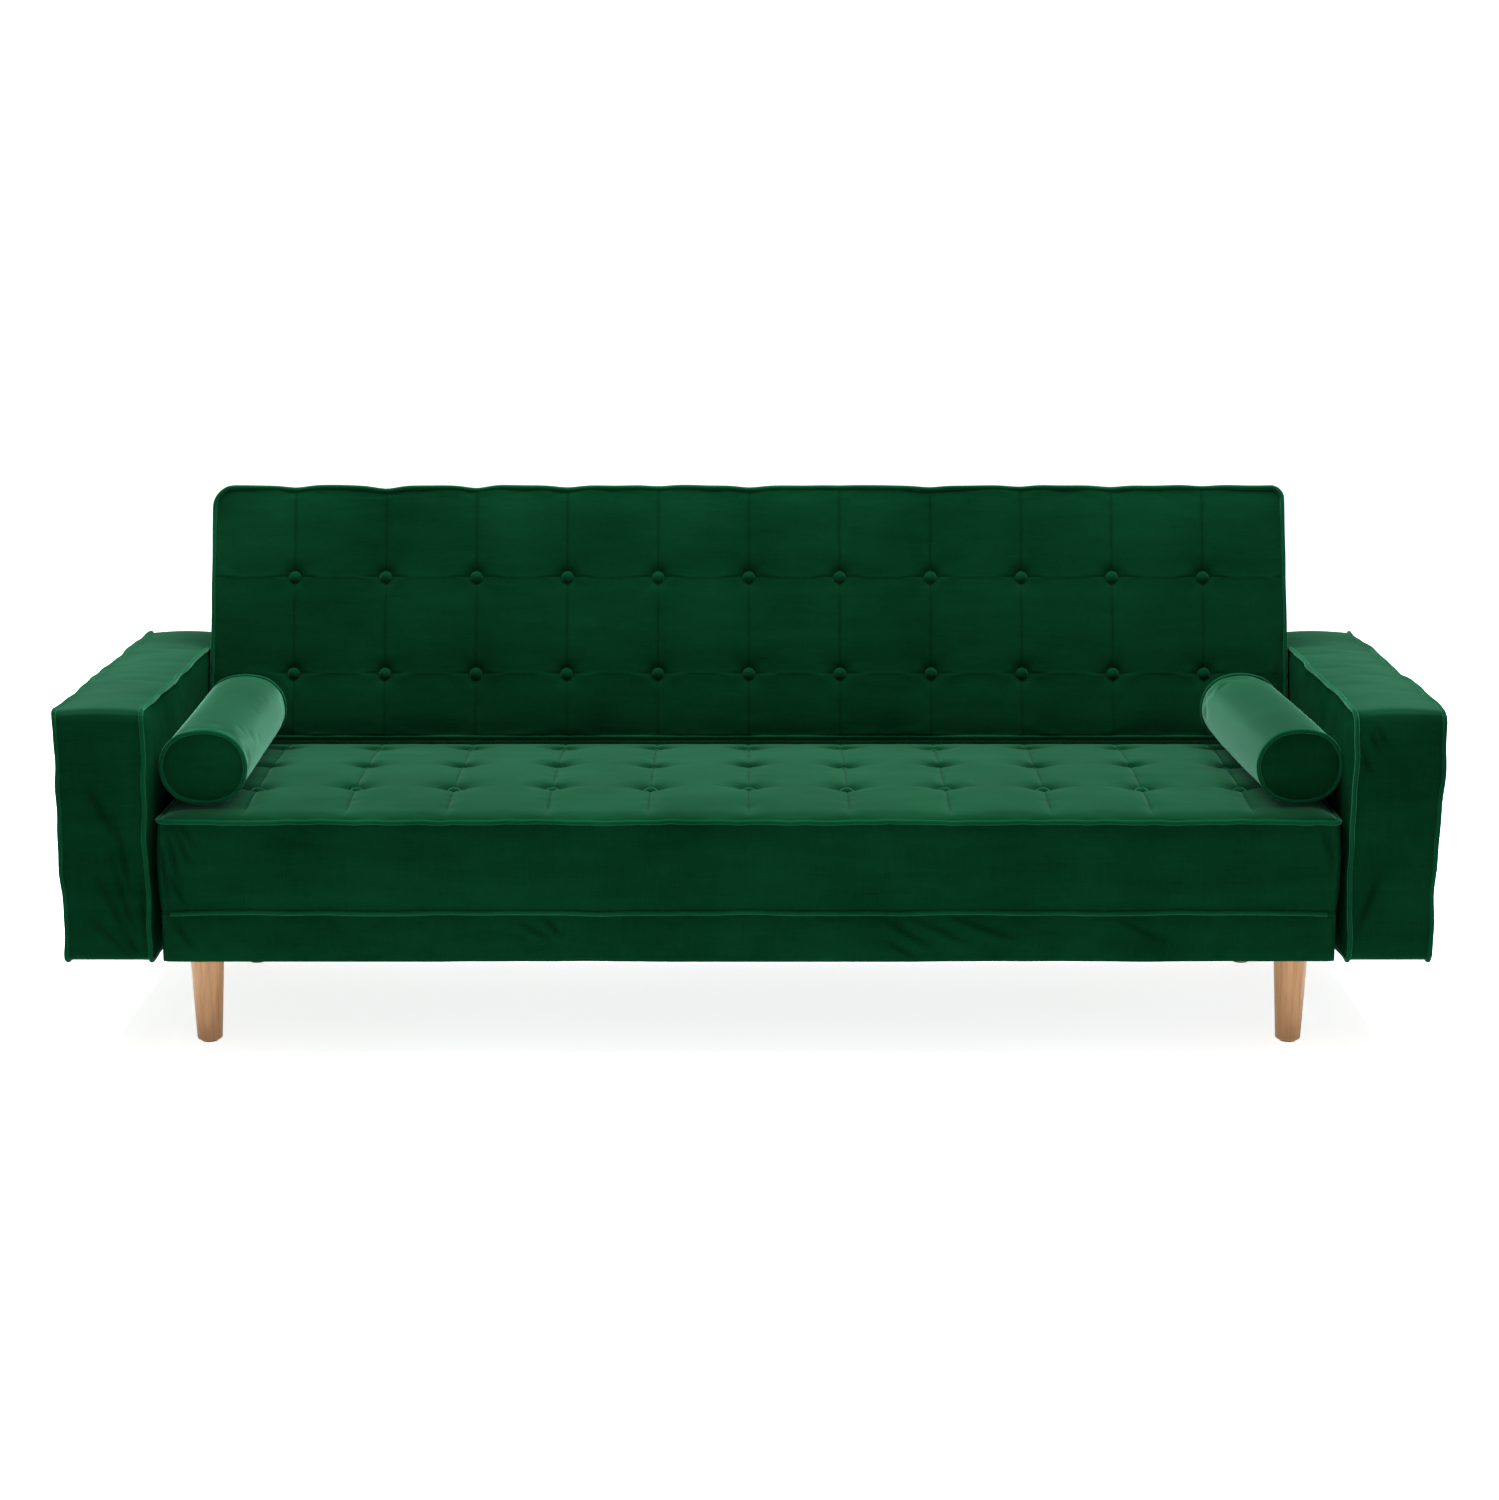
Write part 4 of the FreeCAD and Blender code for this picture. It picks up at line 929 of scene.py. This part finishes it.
# ---- buttons ------------------------------------------------------------------------
def button_shape(centre, out, seed):
    """A domed button covered in cloth, with its middle at centre, facing out."""
    rng = np.random.default_rng(seed)
    out = (Vector(out) + Vector(rng.uniform(-0.07, 0.07, 3).tolist())).normalized()
    turn = Vector((0, 0, 1)).rotation_difference(out).to_matrix()
    profile = ((0.0, 0.0068), (0.28, 0.0065), (0.55, 0.0056), (0.78, 0.0040), (0.93, 0.0018),
               (1.0, -0.0008), (0.97, -0.0034), (0.80, -0.0050))
    sides = 28
    points, faces = [(0, 0, profile[0][1])], []
    for r, z in profile[1:]:
        for s in range(sides):
            angle = 2 * math.pi * s / sides
            pleat = 1 + 0.012 * math.cos(angle * 9 + seed) * max(0, 0.002 - z) / 0.004
            points.append((BUTTON_R * r * pleat * math.cos(angle),
                           BUTTON_R * r * pleat * math.sin(angle), z))
    for s in range(sides):
        t = (s + 1) % sides
        faces.append((0, 1 + s, 1 + t))
        for n in range(len(profile) - 2):
            base = 1 + n * sides
            faces.append((base + s, base + sides + s, base + sides + t, base + t))
    last = 1 + (len(profile) - 2) * sides
    faces.append(tuple(last + s for s in range(sides))[::-1])
    centre = Vector(centre)
    return [tuple(turn @ Vector(p) + centre) for p in points], faces


# ---- build the soft pieces ----------------------------------------------------------
mattress, seat_top_rim, seat_low_rim = seat_mattress()
band = base_band()
back, back_rim, back_matrix = back_cushion()
arms = {side: arm(side) for side in ("left", "right")}
bolsters = {side: bolster(side) for side in ("left", "right")}
inflate_all()

seat_rim_line = coords(mattress.data)[seat_top_rim]
seat_low_line = coords(mattress.data)[seat_low_rim]
back_rim_line = coords(back.data)[back_rim]
# The back's piping stays clear of the seat below it and of the arms beside it.
own = unplaced(back_rim_line, back_matrix)
own[:, 1] += 0.003 * smooth((0.012 - own[:, 2]) / 0.010)
own[:, 0] -= 0.0017 * np.sign(own[:, 0]) * smooth((abs(own[:, 0]) - 0.880) / 0.020)
back_rim_line = placed(own, back_matrix)
arm_rim_lines = {s: [coords(o.data)[r] for r in rims] for s, (o, rims) in arms.items()}
bolster_lines = {s: [coords(o.data)[e] for e in ends] for s, (o, ends) in bolsters.items()}

for piece in [mattress, band, back] + [o for o, _ in (*arms.values(), *bolsters.values())]:
    subdivided(piece)

FRONT = SEAT_LO.y
LEFT_ARM_FOLDS = (  # across the front: x, z, x, z, width, height
    (-0.931, 0.168, -0.990, 0.300, 0.0060, 0.0036),
    (-0.930, 0.190, -0.968, 0.330, 0.0050, 0.0030),
    (-0.934, 0.160, -1.010, 0.235, 0.0060, 0.0032),
    (-0.930, 0.235, -0.960, 0.400, 0.0055, 0.0026),
    (-0.926, 0.165, -0.931, 0.300, 0.0045, -0.0030),
    (-0.945, 0.340, -1.000, 0.440, 0.0080, 0.0014),
    (-0.932, 0.150, -0.960, 0.210, 0.0045, -0.0024))
SEAT_FOLDS = (
    (-0.889, 0.363, -0.868, 0.262, 0.0045, 0.0020), (-0.880, 0.366, -0.851, 0.300, 0.0040, 0.0020),
    (-0.893, 0.345, -0.880, 0.240, 0.0040, -0.0022), (-0.870, 0.366, -0.838, 0.325, 0.0040, 0.0016),
    (-0.893, 0.300, -0.862, 0.235, 0.0050, 0.0018), (0.862, 0.366, 0.886, 0.300, 0.0045, 0.0014),
    (0.884, 0.362, 0.892, 0.290, 0.0040, -0.0014), (-0.560, 0.300, -0.300, 0.285, 0.0200, 0.0014),
    (0.150, 0.320, 0.420, 0.290, 0.0220, 0.0014))
BAND_FOLDS = (
    (0.195, 0.220, 0.285, 0.165, 0.0045, 0.0024), (0.235, 0.222, 0.345, 0.172, 0.0045, 0.0022),
    (0.300, 0.220, 0.420, 0.178, 0.0050, 0.0020), (0.205, 0.190, 0.262, 0.158, 0.0040, -0.0020),
    (-0.360, 0.215, -0.300, 0.180, 0.0040, 0.0018), (-0.318, 0.220, -0.285, 0.185, 0.0040, 0.0016),
    (-0.885, 0.220, -0.850, 0.165, 0.0045, 0.0016), (0.555, 0.216, 0.640, 0.176, 0.0050, 0.0012))
RIGHT_ARM_FOLDS = (
    (0.930, 0.515, 0.952, 0.470, 0.0040, 0.0022), (0.940, 0.522, 0.964, 0.480, 0.0040, 0.0016),
    (0.928, 0.490, 0.944, 0.440, 0.0035, -0.0018), (0.930, 0.180, 0.970, 0.300, 0.0070, 0.0012))
for piece, folds in ((arms["left"][0], LEFT_ARM_FOLDS), (mattress, SEAT_FOLDS),
                     (band, BAND_FOLDS), (arms["right"][0], RIGHT_ARM_FOLDS)):
    for x0, z0, x1, z1, width, height in folds:
        fold(piece, (x0, FRONT, z0), (x1, FRONT, z1), width, height)

for piece, body, node, fill in ((mattress, "seat", "seat_cover", 0.9),
                                (band, "seat", "seat_base_band", 0.9),
                                (back, "back", "back_cover", 0.9),
                                (arms["left"][0], "seat", "arm_left_cover", 0.9),
                                (arms["right"][0], "seat", "arm_right_cover", 0.9),
                                (bolsters["left"][0], "bolster_left", "bolster_left_cover", 0.8),
                                (bolsters["right"][0], "bolster_right", "bolster_right_cover",
                                 0.8)):
    piece.data.materials.append(VELVET)
    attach(piece, body)
    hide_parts(node)

# Painted shade: the panels on either side of the gaps beside the seat, the tuck behind it and the underside of
# the back get a copy of the velvet with hardly any sheen, which keeps them dark. With the full sheen they come out
# paler than the rest.
SIDEWAYS = 0.6
DOWNWARDS = -0.85
for piece, gets_painted_shade in (
        (arms["left"][0], lambda face: face.normal.x > SIDEWAYS),
        (arms["right"][0], lambda face: face.normal.x < -SIDEWAYS),
        (mattress, lambda face: (abs(face.normal.x) > SIDEWAYS
                                 or face.center.y > SEAT_LO.y + TUCK_DEPTH)),
        (band, lambda face: abs(face.normal.x) > SIDEWAYS),
        (back, lambda face: face.normal.z < DOWNWARDS)):
    piece.data.materials.append(SHADED_VELVET)
    for face in piece.data.polygons:
        if gets_painted_shade(face):
            face.material_index = 1

# ---- piping -------------------------------------------------------------------------
def welts(name, lines, closed, body, node, r=PIPING_R, times=3):
    tubes = [tube(denser(line, closed, times), r, closed) for line in lines]
    piece = joined(name, tubes, body, [node])
    piece.data.materials.append(PIPING)


before_welt_end = seat_rim_line[:, 1] < SEAT_LO.y + WELT_DEPTH
start = next(n for n in range(len(seat_rim_line))
             if before_welt_end[n] and not before_welt_end[n - 1])
seat_line = np.roll(seat_rim_line, -start, 0)[:before_welt_end.sum()]
welts("seat_top_welt", [seat_line], False, "seat", "seat_top_piping")
front_line = sorted((p for p in seat_low_line
                     if p[1] < SEAT_LO.y + 0.004 and abs(p[0]) < SEAT_HI.x - 0.012),
                    key=lambda p: p[0])
front_line = [(x, y - 0.0002, z + 0.0016 * float(waver(x, 51)) + 0.0005)
              for x, y, z in front_line]
welts("seat_front_welt", [front_line], False, "seat", "seat_lower_piping")
welts("back_welt", [back_rim_line], True, "back", "back_piping")
for side, lines in arm_rim_lines.items():
    welts(f"arm_{side}_welts", lines, True, "seat", f"arm_{side}_piping")
for side, lines in bolster_lines.items():
    welts(f"bolster_{side}_welts", lines, True, f"bolster_{side}", f"bolster_{side}_piping",
          PIPING_R * 0.9, 2)

# ---- buttons ------------------------------------------------------------------------
shapes = []
for n, cx in enumerate(column_places("seat_buttons")):
    for m, cy in enumerate(seat_rows()):
        shapes.append(button_shape((cx, cy, SEAT_HI.z - 0.0055), (0, 0, 1), 100 + 3 * n + m))
seat_buttons = joined("seat_button_set", shapes, "seat", ["seat_buttons"])
shapes = []
matrix = Matrix(back_matrix.tolist())
facing = matrix.to_3x3() @ Vector((0, -1, 0))  # the way the back's front faces
for n, cx in enumerate(column_places("back_buttons")):
    for m, cz in enumerate(BACK_ROWS):
        shapes.append(button_shape(matrix @ Vector((cx, 0.0010, cz)), facing, 200 + 2 * n + m))
back_buttons = joined("back_button_set", shapes, "back", ["back_buttons"])
for piece in (seat_buttons, back_buttons):
    piece.data.materials.append(BUTTON)

# ---- stage, light and camera --------------------------------------------------------
FLOOR_GLOW = 0.80
WORLD_STRENGTH = 1.05
OVERHEAD_POWER = 520
CAMERA_LENS = 72.3
CAMERA_AWAY = 4.456  # in front of the seat
CAMERA_HEIGHT = 1.381
CAMERA_DOWN = 0.199  # radians below level

floor = mesh_object("floor", [(-30, -30, 0), (30, -30, 0), (30, 60, 0), (-30, 60, 0)],
                    [(0, 1, 2, 3)])
floor_mat, _, floor_shader = new_material("pale_floor")
floor_shader.inputs["Base Color"].default_value = (0.93, 0.93, 0.93, 1)
floor_shader.inputs["Roughness"].default_value = 0.9
floor_shader.inputs["Emission Color"].default_value = (1, 1, 1, 1)
floor_shader.inputs["Emission Strength"].default_value = FLOOR_GLOW
floor.data.materials.append(floor_mat)

world = bpy.data.worlds.new("studio")
world.use_nodes = True
tree = world.node_tree
direction = tree.nodes.new("ShaderNodeTexCoord")
split = tree.nodes.new("ShaderNodeSeparateXYZ")
tree.links.new(direction.outputs["Generated"], split.inputs[0])
# White walls at the horizon under a dimmer ceiling.
tree.links.new(ramp(tree, split.outputs["Z"], [(0.07, (1, 1, 1)), (0.24, (0.34, 0.34, 0.34))]),
               tree.nodes["Background"].inputs["Color"])
tree.nodes["Background"].inputs["Strength"].default_value = WORLD_STRENGTH
SCENE.world = world


def area_light(name, place, aim, size, power):
    data = bpy.data.lights.new(name, "AREA")
    data.shape = "RECTANGLE"
    data.size, data.size_y = size
    data.energy = power
    obj = bpy.data.objects.new(name, data)
    obj.location = place
    obj.rotation_euler = (Vector(aim) - Vector(place)).to_track_quat("-Z", "Y").to_euler()
    SCENE.collection.objects.link(obj)


area_light("overhead", (0.0, 0.30, 3.0), (0.0, 0.12, 0.3), (4.2, 2.2), OVERHEAD_POWER)

camera_data = bpy.data.cameras.new("camera")
camera_data.sensor_fit = "HORIZONTAL"
camera_data.sensor_width = 36.0
camera_data.lens = CAMERA_LENS
camera = bpy.data.objects.new("camera", camera_data)
camera.location = (0.001, SEAT_LO.y - CAMERA_AWAY, CAMERA_HEIGHT)
camera.rotation_euler = (math.pi / 2 - CAMERA_DOWN, 0, 0)
SCENE.collection.objects.link(camera)
SCENE.camera = camera
